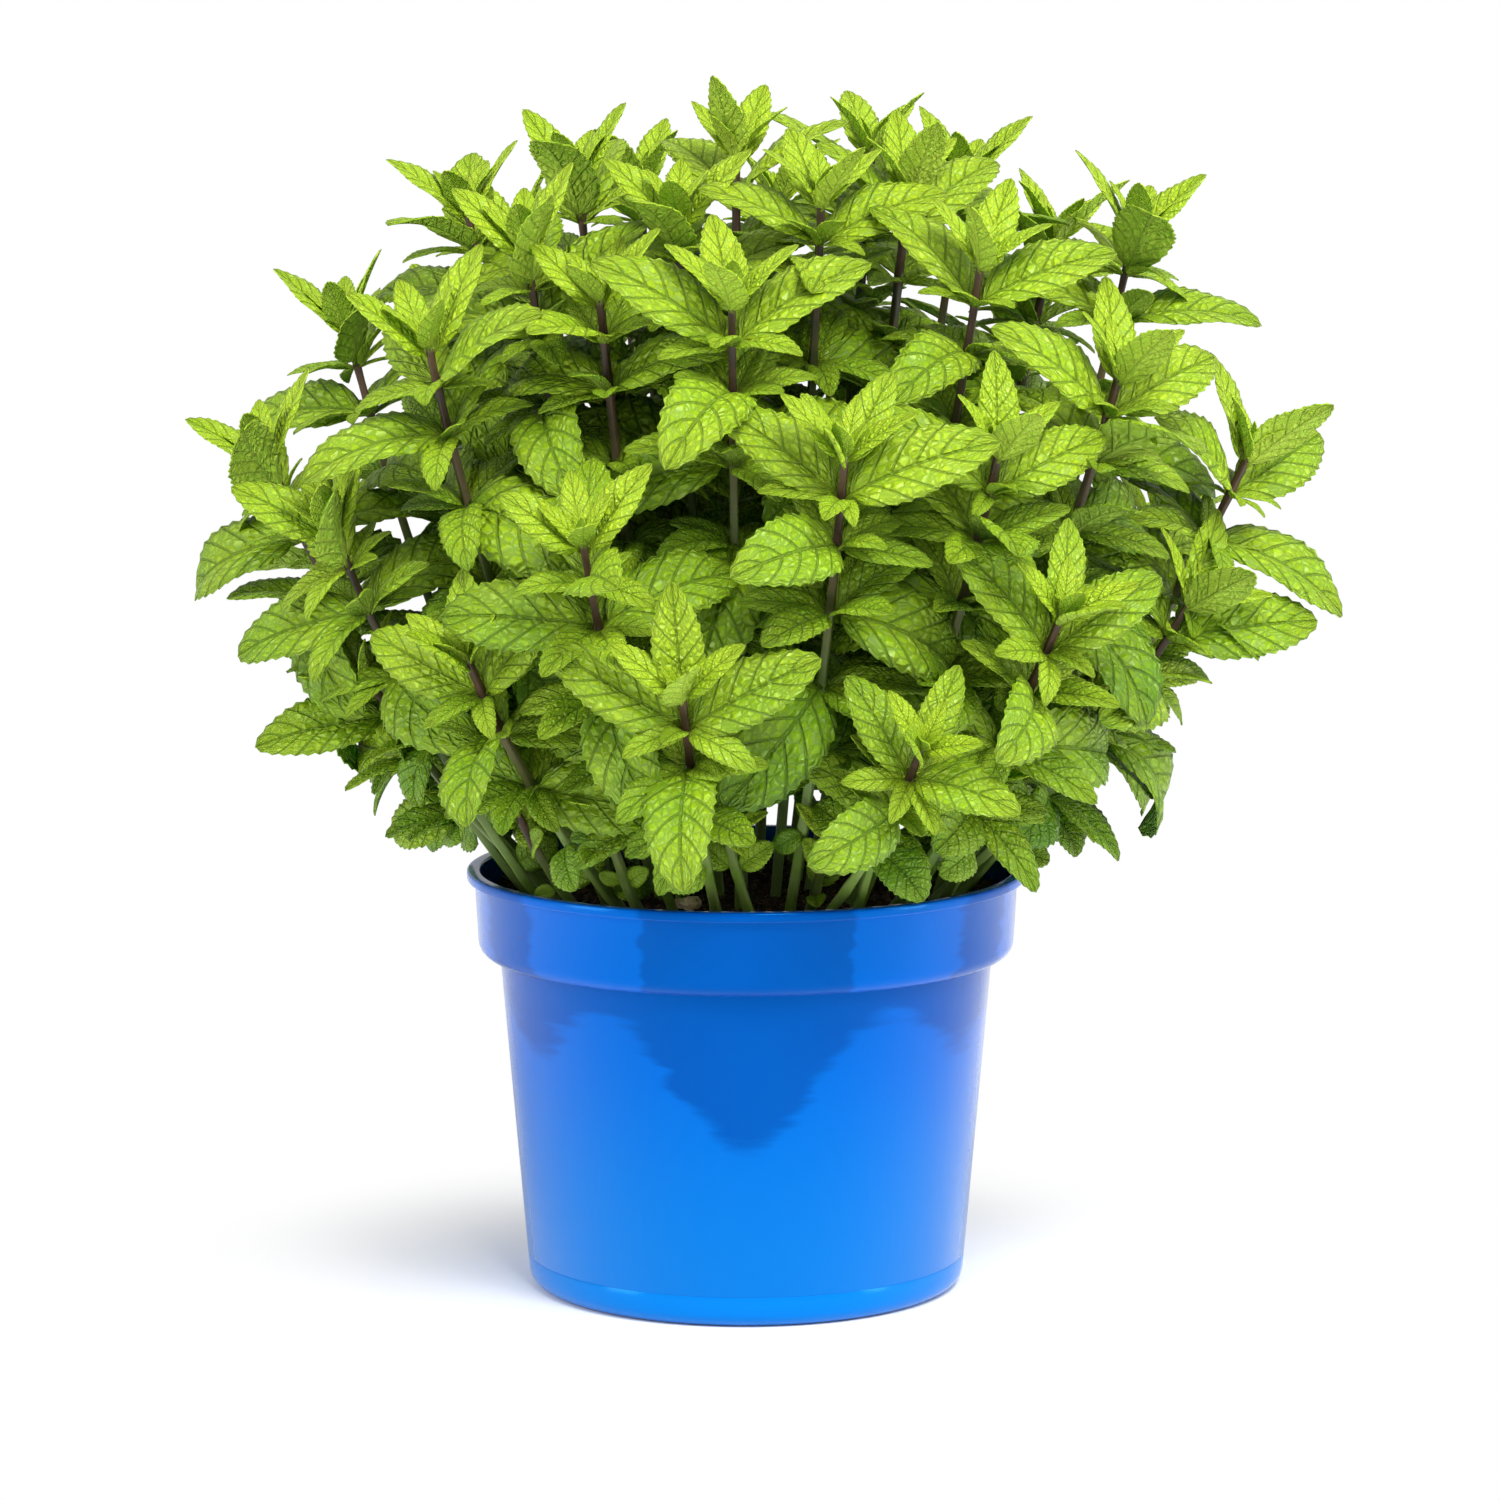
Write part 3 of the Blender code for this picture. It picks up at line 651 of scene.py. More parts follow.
def grain(nodes, coarse, fine):
    """The unevenness of a material at its own scales."""
    place = nodes.out("ShaderNodeTexCoord", output="Object")
    made = nodes.node("ShaderNodeGroup", node_tree=grain_group())
    nodes.feed(place, made.inputs["Vector"])
    made.inputs["Coarse"].default_value = coarse
    made.inputs["Fine"].default_value = fine
    return made.outputs["Height"], made.outputs["Mask"]


@lru_cache(maxsize=None)
def vein_group():
    """The veins of a mint leaf, from its own map: across the leaf in X, along it in Y."""
    inputs = (("Vector", "Vector", None), ("Side veins", "Float", 6.5), ("Slant", "Float", 0.24))
    outputs = (("Height", "Float"), ("Net", "Float"), ("Main", "Float"))
    nodes, given, end = shader_group("leaf_veins", inputs, outputs)
    parts = nodes.node("ShaderNodeSeparateXYZ", {"Vector": given["Vector"]}).outputs
    out = nodes.math("ABSOLUTE", nodes.math("MULTIPLY_ADD", parts["X"], 2, -1))
    slanted = nodes.math("SUBTRACT", parts["Y"], nodes.math("MULTIPLY", out, given["Slant"]))
    order = nodes.math("MULTIPLY_ADD", slanted, given["Side veins"], 0.5)
    off = nodes.math("ABSOLUTE", nodes.math("SUBTRACT", nodes.math("FRACT", order), 0.5))
    side = nodes.smooth(off, 0.02, 0.1, 1, 0)
    middle = nodes.smooth(out, 0.02, 0.07, 1, 0)
    stretch = nodes.vector("MULTIPLY", given["Vector"], (9, 15, 1))
    wobble = nodes.out("ShaderNodeTexNoise", {"Vector": stretch, "Scale": 0.8, "Detail": 2}, "Color")
    bent = nodes.vector("MULTIPLY_ADD", wobble, (0.7, 0.7, 0), stretch)
    cells = nodes.out("ShaderNodeTexVoronoi", {"Vector": bent, "Scale": 1}, feature="DISTANCE_TO_EDGE")
    net = nodes.smooth(cells, 0.0, 0.15, 1, 0)
    main = nodes.math("MAXIMUM", side, middle)
    dome = nodes.smooth(cells, 0.0, 0.42)
    height = nodes.math("SUBTRACT", dome, nodes.math("MULTIPLY", main, 0.8))
    nodes.feed(height, end["Height"])
    nodes.feed(net, end["Net"])
    nodes.feed(main, end["Main"])
    return nodes.tree


def leaf_material(name, deep, fresh, vein_shade, roughness, bump, is_under=False):
    """A leaf face: quilted between its sunken veins, which are darkened with painted shade, and lighter the younger it
    is. The same youth attribute also carries painted light and shade over the clump.
    """
    material, nodes, shader = new_material(name)
    leaf_map = nodes.out("ShaderNodeUVMap", uv_map="UVMap")
    veins = nodes.node("ShaderNodeGroup", node_tree=vein_group())
    nodes.feed(leaf_map, veins.inputs["Vector"])
    # The youth attribute holds each leaf's age, with painted light on the tallest shoots and painted shade deep in the
    # clump.
    youth = nodes.out("ShaderNodeAttribute", attribute_name="youth", output="Fac")
    height, mask = grain(nodes, 45, 900)
    colour = nodes.blend(youth, (*deep, 1), (*fresh, 1))
    patch = nodes.math("MULTIPLY", mask, 0.22)
    colour = nodes.blend(patch, colour, (fresh[0] * 1.1, fresh[1] * 0.95, fresh[2], 1))
    # Painted shade: the veins are darkened by a shadow colour, as if shaded in their grooves, and less so on the
    # underside.
    shadow = [0.62, 0.66, 0.5, 1] if is_under else [0.34, 0.42, 0.26, 1]
    sunken = nodes.blend(1.0, colour, shadow, "MULTIPLY")
    lines = nodes.math("MAXIMUM", nodes.math("MULTIPLY", veins.outputs["Net"], 0.8), veins.outputs["Main"])
    colour = nodes.blend(nodes.math("MULTIPLY", lines, vein_shade), colour, sunken)
    nodes.feed(colour, shader.inputs["Base Color"])
    rough = nodes.math("MULTIPLY_ADD", lines, 0.2, roughness)
    nodes.feed(rough, shader.inputs["Roughness"])
    full = nodes.math("MULTIPLY_ADD", height, 0.05, veins.outputs["Height"])
    length = nodes.out("ShaderNodeAttribute", attribute_name="length", output="Fac")
    relief = nodes.math("MULTIPLY", length, 0.024)
    bumped = nodes.out("ShaderNodeBump", {"Strength": bump, "Distance": relief, "Height": full}, invert=is_under)
    nodes.feed(bumped, shader.inputs["Normal"])
    shader.inputs["Specular IOR Level"].default_value = 0.36
    shader.inputs["Subsurface Weight"].default_value = 0.15
    shader.inputs["Subsurface Radius"].default_value = (0.35, 1.0, 0.12)
    shader.inputs["Subsurface Scale"].default_value = 0.0014
    return material


def stem_material(settings):
    """Square mint stem: dark purple-brown where it is young, green lower down."""
    material, nodes, shader = new_material("mint_stem")
    height, mask = grain(nodes, 120, 900)
    youth = nodes.out("ShaderNodeAttribute", attribute_name="youth", output="Fac")
    brown = nodes.blend(mask, (*settings.young_stem, 1), (0.075, 0.036, 0.018, 1))
    green = nodes.blend(mask, (*settings.old_stem, 1), (0.15, 0.23, 0.045, 1))
    colour = nodes.blend(nodes.smooth(youth, 0.25, 0.7), green, brown)
    colour = nodes.blend(nodes.smooth(youth, 0.93, 1.0), colour, (0.3, 0.42, 0.08, 1))
    nodes.feed(colour, shader.inputs["Base Color"])
    nodes.feed(nodes.math("MULTIPLY_ADD", mask, 0.2, 0.38), shader.inputs["Roughness"])
    bumped = nodes.out("ShaderNodeBump", {"Strength": 0.3, "Distance": 0.0003, "Height": height})
    nodes.feed(bumped, shader.inputs["Normal"])
    return material


def plastic_material(settings):
    """Glossy moulded plastic with fine handling marks. It is deep blue below its collar in a painted dark reflection
    with painted shade, and paler toward its foot in a painted reflection of the floor.
    """
    material, nodes, shader = new_material("pot_plastic")
    height, mask = grain(nodes, 18, 260)
    place = nodes.out("ShaderNodeTexCoord", output="Object")
    marks = nodes.vector("MULTIPLY", place, (1, 1, 7))
    scuffs = nodes.out("ShaderNodeTexNoise", {"Vector": marks, "Scale": 70, "Detail": 6})
    worn = nodes.smooth(scuffs, 0.62, 0.78)
    # Painted reflection and shade: a ragged, lobed dark band on the body just below the collar and dark patches on the
    # collar, mixed toward the dark reflection colour.
    parts = nodes.node("ShaderNodeSeparateXYZ", {"Vector": place}).outputs
    around = nodes.math("ARCTAN2", parts["X"], nodes.math("MULTIPLY", parts["Y"], -1))
    reflection_lobes = nodes.math("ADD", nodes.math("COSINE", nodes.math("MULTIPLY", around, 6)),
                       nodes.math("COSINE", nodes.math("MULTIPLY", around, 3)))
    reflection_ragging = nodes.out("ShaderNodeTexNoise", {"Vector": marks, "Scale": 30, "Detail": 6})
    edge = nodes.math("MULTIPLY_ADD", reflection_ragging, 0.024, nodes.math("MULTIPLY", reflection_lobes, 0.012))
    body_reflection = nodes.smooth(nodes.math("ADD", parts["Z"], edge), 0.088, 0.096)
    collar_reflection = nodes.smooth(nodes.math("MULTIPLY_ADD", reflection_ragging, 0.8, reflection_lobes), 0.0, 0.2)
    is_collar = nodes.math("GREATER_THAN", parts["Z"], POT_HEIGHT - COLLAR_HEIGHT + 0.4 * MM)
    deep = nodes.out("ShaderNodeMix", {"Factor": is_collar, "A": body_reflection, "B": collar_reflection}, data_type="FLOAT")
    # Painted reflection of the pale floor: the plastic is painted paler toward its foot.
    low = nodes.smooth(parts["Z"], 0.0, 0.1)
    colour = nodes.blend(low, (*settings.floor_reflection_and_mottle_colour, 1), (*settings.colour, 1))
    colour = nodes.blend(nodes.math("MULTIPLY", deep, 0.75), colour, (*settings.dark_reflection_colour, 1))
    # Random pale mottle, in the same colour.
    colour = nodes.blend(nodes.math("MULTIPLY", mask, 0.06), colour, (*settings.floor_reflection_and_mottle_colour, 1))
    nodes.feed(colour, shader.inputs["Base Color"])
    nodes.feed(nodes.math("MULTIPLY_ADD", worn, 0.1, settings.roughness), shader.inputs["Roughness"])
    bumped = nodes.out("ShaderNodeBump", {"Strength": 0.12, "Distance": 0.0012, "Height": height})
    nodes.feed(bumped, shader.inputs["Normal"])
    shader.inputs["Specular IOR Level"].default_value = 0.5
    shader.inputs["Specular Tint"].default_value = (0.03, 0.5, 1.0, 1.0)
    return material


def crumb_material(name, dark, light, roughness):
    """Crumbs of potting mix or bark, each with its own shade."""
    material, nodes, shader = new_material(name)
    height, mask = grain(nodes, 300, 1500)
    shade = nodes.out("ShaderNodeAttribute", attribute_name="shade", output="Fac")
    factor = nodes.math("MULTIPLY_ADD", mask, 0.4, nodes.math("MULTIPLY", shade, 0.6))
    nodes.feed(nodes.blend(factor, (*dark, 1), (*light, 1)), shader.inputs["Base Color"])
    shader.inputs["Roughness"].default_value = roughness
    bumped = nodes.out("ShaderNodeBump", {"Strength": 0.8, "Distance": 0.0006, "Height": height})
    nodes.feed(bumped, shader.inputs["Normal"])
    return material


def stone_material(settings):
    """Pale limy stone with brown pits."""
    material, nodes, shader = new_material("pale_stone")
    height, mask = grain(nodes, 420, 1900)
    colour = nodes.blend(mask, (*settings.stone_colour, 1), (0.78, 0.68, 0.44, 1))
    pits = nodes.out("ShaderNodeTexVoronoi", {
        "Vector": nodes.out("ShaderNodeTexCoord", output="Object"), "Scale": 700,
    })
    colour = nodes.blend(nodes.smooth(pits, 0.1, 0.3, 0.7, 0), colour, (0.22, 0.14, 0.07, 1))
    nodes.feed(colour, shader.inputs["Base Color"])
    shader.inputs["Roughness"].default_value = 0.8
    bumped = nodes.out("ShaderNodeBump", {"Strength": 0.7, "Distance": 0.0005, "Height": height})
    nodes.feed(bumped, shader.inputs["Normal"])
    return material


# Settings --------------------------------------------------------------------------------------------------

def colour_property(name, description, default):
    return bpy.props.FloatVectorProperty(
        name=name, description=description, subtype="COLOR", size=3, min=0, max=1, default=default
    )


class PotSettings(bpy.types.PropertyGroup):
    colour: colour_property("Colour", "Colour of the moulded plastic", (0.0, 0.092, 0.49))
    # Painted dark reflection, with painted shade below the collar.
    dark_reflection_colour: colour_property("Deep colour", "Colour of the plastic below the collar", (0.0, 0.044, 0.28))
    # Painted reflection of the floor toward the foot; the same colour also gives the random mottle.
    floor_reflection_and_mottle_colour: colour_property("Pale colour", "Colour of the plastic toward the foot", (0.002, 0.155, 0.54))
    roughness: bpy.props.FloatProperty(
        name="Roughness", description="How dull the plastic is", default=0.16, min=0, max=1
    )
    lip_round: bpy.props.FloatProperty(
        name="Lip rounding", description="Radius of the rounded edge of the lip", default=0.7 * MM,
        unit="LENGTH",
    )
    mould_line: bpy.props.FloatProperty(
        name="Mould line height", description="Height of the faint line around the foot of the pot",
        default=9.6 * MM, unit="LENGTH",
    )
    sides: bpy.props.IntProperty(name="Sides", description="Steps around the pot", default=144, min=24)


class SoilSettings(bpy.types.PropertyGroup):
    dark: colour_property("Dark crumbs", "Darkest colour of the potting mix", (0.006, 0.0035, 0.002))
    light: colour_property("Light crumbs", "Lightest colour of the potting mix", (0.075, 0.042, 0.022))
    bark: colour_property("Bark", "Colour of the bits of bark and fibre", (0.2, 0.1, 0.055))
    stone_colour: colour_property("Stone", "Colour of the pale stone", (0.6, 0.46, 0.24))
    crumb: bpy.props.FloatProperty(
        name="Crumb size", description="Radius of the largest crumbs", default=1.7 * MM, unit="LENGTH"
    )
    crumbs: bpy.props.FloatProperty(
        name="Crumb density", description="Crumbs on each square metre of the surface", default=170000, min=0
    )
    fibres: bpy.props.FloatProperty(
        name="Fibre density", description="Bits of bark and fibre on each square metre", default=16000, min=0
    )


class FoliageSettings(bpy.types.PropertyGroup):
    deep_leaf: colour_property("Old leaf", "Upper side of the oldest leaves", (0.08, 0.215, 0.002))
    fresh_leaf: colour_property("Young leaf", "Upper side of the youngest leaves", (0.42, 0.6, 0.018))
    old_under: colour_property("Old underside", "Underside of the oldest leaves", (0.15, 0.28, 0.04))
    young_under: colour_property("Young underside", "Underside of the youngest leaves", (0.44, 0.62, 0.05))
    young_stem: colour_property("Young stem", "Colour of the upper stem", (0.032, 0.015, 0.009))
    old_stem: colour_property("Old stem", "Colour of the lower stem", (0.11, 0.2, 0.022))
    teeth: bpy.props.IntProperty(name="Teeth", description="Teeth on each edge of a leaf", default=12, min=0)
    tooth: bpy.props.FloatProperty(
        name="Tooth depth", description="Depth of a tooth as a share of the leaf's half width", default=0.085
    )
    vein_pairs: bpy.props.FloatProperty(
        name="Side veins", description="Side veins on each half of a leaf", default=6.5, min=1
    )
    quilting: bpy.props.FloatProperty(
        name="Quilting", default=0.045,
        description="How far a leaf swells between its side veins, as a share of its half width",
    )
    thickness: bpy.props.FloatProperty(
        name="Leaf thickness", description="Thickness of a leaf blade", default=0.35 * MM, unit="LENGTH"
    )
    seed: bpy.props.IntProperty(name="Seed", description="Seed of the small leaves in the leaf axils", default=5)


class StageSettings(bpy.types.PropertyGroup):
    floor: colour_property("Floor", "Colour of the floor and the backdrop", (0.9, 0.9, 0.9))
    key: bpy.props.FloatProperty(name="Key light", description="Power of the main soft light in watts", default=43)
    fill: bpy.props.FloatProperty(name="Fill light", description="Power of each side light in watts", default=12)
    world: bpy.props.FloatProperty(name="Surround", description="Brightness of the light from the surround", default=0.62)
    lens: bpy.props.FloatProperty(name="Lens", description="Focal length in millimetres", default=134)


SETTINGS = {
    "mint_pot": PotSettings, "mint_soil": SoilSettings, "mint_foliage": FoliageSettings, "mint_stage": StageSettings,
}


# Pot -------------------------------------------------------------------------------------------------------

def rounded(centre, radius, start, end, steps=6):
    """Points on a rounded edge, from one angle to another in degrees."""
    angles = [math.radians(start + (end - start) * i / steps) for i in range(steps + 1)]
    return [(centre[0] + radius * math.cos(a), centre[1] + radius * math.sin(a)) for a in angles]


def pot_profile(settings):
    """The pot's closed section, from the inside of its floor up over the lip and down to its underside."""
    step = POT_HEIGHT - COLLAR_HEIGHT
    lip_low = POT_HEIGHT - LIP_HEIGHT
    soft = settings.lip_round
    collar_corner = (COLLAR_BOTTOM_RADIUS - COLLAR_EDGE, step + COLLAR_EDGE)
    base_corner = (BASE_RADIUS - BASE_EDGE, BASE_EDGE)
    slope = (BODY_TOP_RADIUS - BASE_RADIUS) / (step - BASE_EDGE)
    line = settings.mould_line
    line_radius = BASE_RADIUS + slope * (line - BASE_EDGE)
    groove = 0.16 * MM
    return [
        (0, WALL),
        *rounded(base_corner, BASE_EDGE - WALL, -90, 0),
        (BODY_TOP_RADIUS - WALL, step + WALL),
        *rounded(collar_corner, COLLAR_EDGE - WALL, -70, 0),
        (COLLAR_TOP_RADIUS - WALL, lip_low),
        *rounded((COLLAR_TOP_RADIUS - WALL + soft, POT_HEIGHT - soft), soft, 180, 90, 3),
        *rounded((LIP_RADIUS - soft, POT_HEIGHT - soft), soft, 90, 0, 4),
        *rounded((LIP_RADIUS - soft, lip_low + soft), soft, 0, -80, 3),
        (COLLAR_TOP_RADIUS + groove, lip_low - groove),
        (COLLAR_TOP_RADIUS, lip_low - 3 * groove),
        *rounded(collar_corner, COLLAR_EDGE, 0, -90),
        (BODY_TOP_RADIUS + 2 * groove, step),
        *rounded((BODY_TOP_RADIUS + 3 * groove, step - 3 * groove), 3 * groove, 90, 180, 3),
        (line_radius + groove / 2, line + 2 * groove),
        (line_radius - groove, line),
        (line_radius, line - 2 * groove),
        *rounded(base_corner, BASE_EDGE, 0, -90, 8),
        (0, 0),
    ]


def turned_mesh(name, profile, sides):
    """A mesh turned about Z from a section that starts and ends on the axis."""
    bm = bmesh.new()
    corners_of_section = [bm.verts.new((radius, 0, height)) for radius, height in profile]
    edges = [bm.edges.new(pair) for pair in zip(corners_of_section, corners_of_section[1:])]
    bmesh.ops.spin(
        bm, geom=corners_of_section + edges, cent=(0, 0, 0), axis=(0, 0, 1), angle=2 * math.pi, steps=sides,
        use_merge=True,
    )
    bmesh.ops.remove_doubles(bm, verts=bm.verts, dist=0.005 * MM)
    bmesh.ops.recalc_face_normals(bm, faces=bm.faces)
    mesh = bpy.data.meshes.new(name)
    bm.to_mesh(mesh)
    bm.free()
    mesh.shade_smooth()
    return mesh


class MINT_OT_pot(bpy.types.Operator):
    """Turn the glossy pot and cut the drain holes through its floor"""

    bl_idname = "mint.pot"
    bl_label = "Pot"

    def execute(self, context):
        settings = context.scene.mint_pot
        mesh = turned_mesh("growing_pot", pot_profile(settings), settings.sides)
        pot = new_object("growing_pot", mesh, plastic_material(settings))
        drills = bpy.data.meshes.new("drain_drills")
        bm = bmesh.new()
        for i in range(DRAIN_HOLES):
            turn = 2 * math.pi * (i + 0.5) / DRAIN_HOLES
            place = (DRAIN_CIRCLE * math.cos(turn), DRAIN_CIRCLE * math.sin(turn), WALL / 2)
            bmesh.ops.create_cone(
                bm, cap_ends=True, segments=32, radius1=DRAIN_RADIUS, radius2=DRAIN_RADIUS, depth=3 * WALL,
                matrix=Matrix.Translation(place),
            )
        bm.to_mesh(drills)
        bm.free()
        drill = new_object("drain_drills", drills)
        cut = pot.modifiers.new("drain_holes", "BOOLEAN")
        cut.object = drill
        applied(pot)
        bpy.data.objects.remove(drill)
        pot.data.set_sharp_from_angle(angle=math.radians(35))
        joins(pot, "pot")
        return {"FINISHED"}


# Potting mix and stone -------------------------------------------------------------------------------------

def mix_profile():
    """The fill's section: its crumbly top, and its sides just clear of the pot."""
    inset = WALL + GAP
    step = POT_HEIGHT - COLLAR_HEIGHT
    edge = COLLAR_BOTTOM_RADIUS - inset
    rings = 40
    top = [(edge * i / rings, fill_level(edge * i / rings)) for i in range(rings + 1)]
    return [
        *top,
        *rounded((COLLAR_BOTTOM_RADIUS - COLLAR_EDGE, step + COLLAR_EDGE), COLLAR_EDGE - inset, 0, -70, 3),
        (BODY_TOP_RADIUS - inset, step + inset),
        *rounded((BASE_RADIUS - BASE_EDGE, BASE_EDGE), BASE_EDGE - inset, 0, -90, 3),
        (0, inset),
    ]


def crumb_tree():
    """Scatter crumbs and bits of fibre over the top of the fill."""
    nodes, given = geometry_tree("loose_crumbs", (
        ("Crumb density", "Float", 100000.0), ("Crumb size", "Float", 0.001), ("Fibre density", "Float", 9000.0),
        ("Seed", "Int", 3), ("Mix", "Material", None), ("Bark", "Material", None),
    ))
    height = nodes.node("ShaderNodeSeparateXYZ", {"Vector": nodes.out("GeometryNodeInputNormal")}).outputs["Z"]
    is_top = nodes.out("FunctionNodeCompare", {"A": height, "B": 0.7}, operation="GREATER_THAN")
    parts = [given["Geometry"]]
    shapes = (
        ("Crumb density", 0.0, (0.35, 0.35, 0.28), (1.0, 1.0, 0.8)),
        ("Fibre density", 1.0, (1.2, 0.18, 0.14), (3.0, 0.36, 0.24)),
    )
    for density, is_bark, least, most in shapes:
        spread = nodes.node("GeometryNodeDistributePointsOnFaces", {
            "Mesh": given["Geometry"], "Selection": is_top, "Density": given[density], "Seed": given["Seed"],
        })
        ball = nodes.out("GeometryNodeMeshIcoSphere", {"Radius": given["Crumb size"], "Subdivisions": 1})
        size = nodes.out("FunctionNodeRandomValue", {0: least, 1: most, "Seed": 11}, data_type="FLOAT_VECTOR")
        turn = nodes.out("FunctionNodeRandomValue", {0: (-0.6, -0.6, 0), 1: (0.6, 0.6, 6.3), "Seed": 12},
                         data_type="FLOAT_VECTOR")
        copies = nodes.out("GeometryNodeInstanceOnPoints", {
            "Points": spread.outputs["Points"], "Instance": ball, "Scale": size,
            "Rotation": nodes.out("FunctionNodeEulerToRotation", {"Euler": turn}),
        })
        shade = nodes.out("FunctionNodeRandomValue", {2: 0.0, 3: 1.0, "Seed": 13}, data_type="FLOAT")
        for name, value in (("shade", shade), ("is_bark", is_bark)):
            copies = nodes.out("GeometryNodeStoreNamedAttribute", {
                "Geometry": copies, "Name": name, "Value": value,
            }, data_type="FLOAT", domain="INSTANCE")
        parts.append(copies)
    joined = nodes.node("GeometryNodeJoinGeometry")
    for part in reversed(parts):
        nodes.tree.links.new(part, joined.inputs[0])
    whole = nodes.out("GeometryNodeRealizeInstances", {"Geometry": joined.outputs[0]})
    whole = nodes.out("GeometryNodeSetMaterial", {"Geometry": whole, "Material": given["Mix"]})
    whole = nodes.out("GeometryNodeSetMaterial", {
        "Geometry": whole, "Selection": nodes.attribute("is_bark"), "Material": given["Bark"],
    })
    end = nodes.tree.nodes.new("NodeGroupOutput")
    nodes.tree.links.new(whole, end.inputs["Geometry"])
    return nodes.tree


class MINT_OT_potting_mix(bpy.types.Operator):
    """Fill the pot with dark crumbly mix and scatter crumbs and fibres over it"""

    bl_idname = "mint.potting_mix"
    bl_label = "Potting mix"

    def execute(self, context):
        settings = context.scene.mint_soil
        mix = new_object("crumbly_mix", turned_mesh("crumbly_mix", mix_profile(), 96))
        for vertex in mix.data.vertices:
            if vertex.co.z > fill_level(COLLAR_BOTTOM_RADIUS) - MM:
                lump = noise.fractal(vertex.co * 260, 0.8, 2.0, 3) * 0.9 * MM
                vertex.co.z += lump * min(1, (COLLAR_BOTTOM_RADIUS - vertex.co.xy.length) / (4 * MM))
        grown(mix, crumb_tree(), {
            "Crumb density": settings.crumbs, "Crumb size": settings.crumb, "Fibre density": settings.fibres,
            "Mix": crumb_material("potting_mix", settings.dark, settings.light, 0.95),
            "Bark": crumb_material("bark_bits", settings.light, settings.bark, 0.85),
        })
        joins(mix, "potting_mix")
        return {"FINISHED"}


class MINT_OT_stone(bpy.types.Operator):
    """Lay the small lumpy stone on the mix"""

    bl_idname = "mint.stone"
    bl_label = "Stone"

    def execute(self, context):
        low, high = (Vector(corner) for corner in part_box("pale_stone"))
        bm = bmesh.new()
        bmesh.ops.create_icosphere(bm, subdivisions=5, radius=1)
        for vertex in bm.verts:
            push = 1 + 0.22 * noise.noise(vertex.co * 1.6) + 0.06 * noise.noise(vertex.co * 5)
            waist = 1 - 0.2 * math.exp(-(((vertex.co.x + 0.35) / 0.22) ** 2))
            flat = Vector((vertex.co.x, vertex.co.y * waist, vertex.co.z * waist)) * push
            vertex.co = (low + high) / 2 + Vector(a * b / 2 for a, b in zip(flat, high - low)) * 0.95
        mesh = bpy.data.meshes.new("pale_stone_grain")
        bm.to_mesh(mesh)
        bm.free()
        mesh.shade_smooth()
        stone = new_object("lumpy_stone", mesh, stone_material(context.scene.mint_soil))
        joins(stone, "pale_stone")
        return {"FINISHED"}


# Stems -----------------------------------------------------------------------------------------------------

def stem_tree():
    """Sweep a square section with rounded corners along each stem's line."""
    nodes, given = geometry_tree("square_stem", (
        ("Corner", "Float", 0.3), ("Turn", "Float", 0.0), ("Material", "Material", None),
    ))
    line = nodes.out("GeometryNodeMeshToCurve", {"Mesh": given["Geometry"]})
    line = nodes.out("GeometryNodeSetCurveTilt", {"Curve": line, "Tilt": given["Turn"]})
    square = nodes.out("GeometryNodeCurvePrimitiveQuadrilateral", {"Width": 1.5, "Height": 1.5})
    square = nodes.out("GeometryNodeFilletCurve", {
        "Curve": square, "Radius": given["Corner"], "Count": 2,
    }, mode="POLY")
    swept = nodes.out("GeometryNodeCurveToMesh", {
        "Curve": line, "Profile Curve": square, "Scale": nodes.attribute("thickness"), "Fill Caps": True,
    })
    finish_tree(nodes, swept, True, given["Material"])
    return nodes.tree


def stem_line(stem):
    """Points up the middle of a stem, with its thickness and youth at each."""
    places, thickness, youth = [], [], []
    stations = stem.stations
    top = len(stations) - 1
    for i, (low, high) in enumerate(zip(stations, stations[1:])):
        steps = max(1, round((high.place - low.place).length / (4 * MM)))
        for k in range(steps):
            t = k / steps
            span = (high.place - low.place).length
            one = low.place.lerp(high.place, t)
            bulge = low.axis - high.axis
            place = one + bulge * span * t * (1 - t) / 2
            places.append(place)
            thickness.append(0.88 * (low.radius + (high.radius - low.radius) * t))
            youth.append((i + t) / top)
    for node_low, node_high in zip(stations[-3::-2], stations[-2::-2]):
        middle = (node_low.place + node_high.place) / 2
        for i, place in enumerate(places):
            near = (place - middle).length / (3 * MM)
            if near < 1:
                thickness[i] *= 1 + 0.22 * (1 - near)
    places.append(stem.shoot.tip)
    thickness.append(stations[-1].radius * 0.7)
    youth.append(1.0)
    return places, thickness, youth


class MINT_OT_stems(bpy.types.Operator):
    """Grow the square stem of every shoot"""

    bl_idname = "mint.stems"
    bl_label = "Stems"

    def execute(self, context):
        stems, _ = clump()
        tree = stem_tree()
        material = stem_material(context.scene.mint_foliage)
        for stem in stems:
            places, thickness, youth = stem_line(stem)
            edges = [(i, i + 1) for i in range(len(places) - 1)]
            name = f"{stem.shoot.name}_stem"
            mesh = points_mesh(name, places, edges, thickness=thickness, youth=youth)
            piece = grown(new_object(name, mesh), tree, {"Turn": stem.shoot.turn, "Material": material})
            joins(piece, stem.shoot.name)
        return {"FINISHED"}


# Leaves ----------------------------------------------------------------------------------------------------

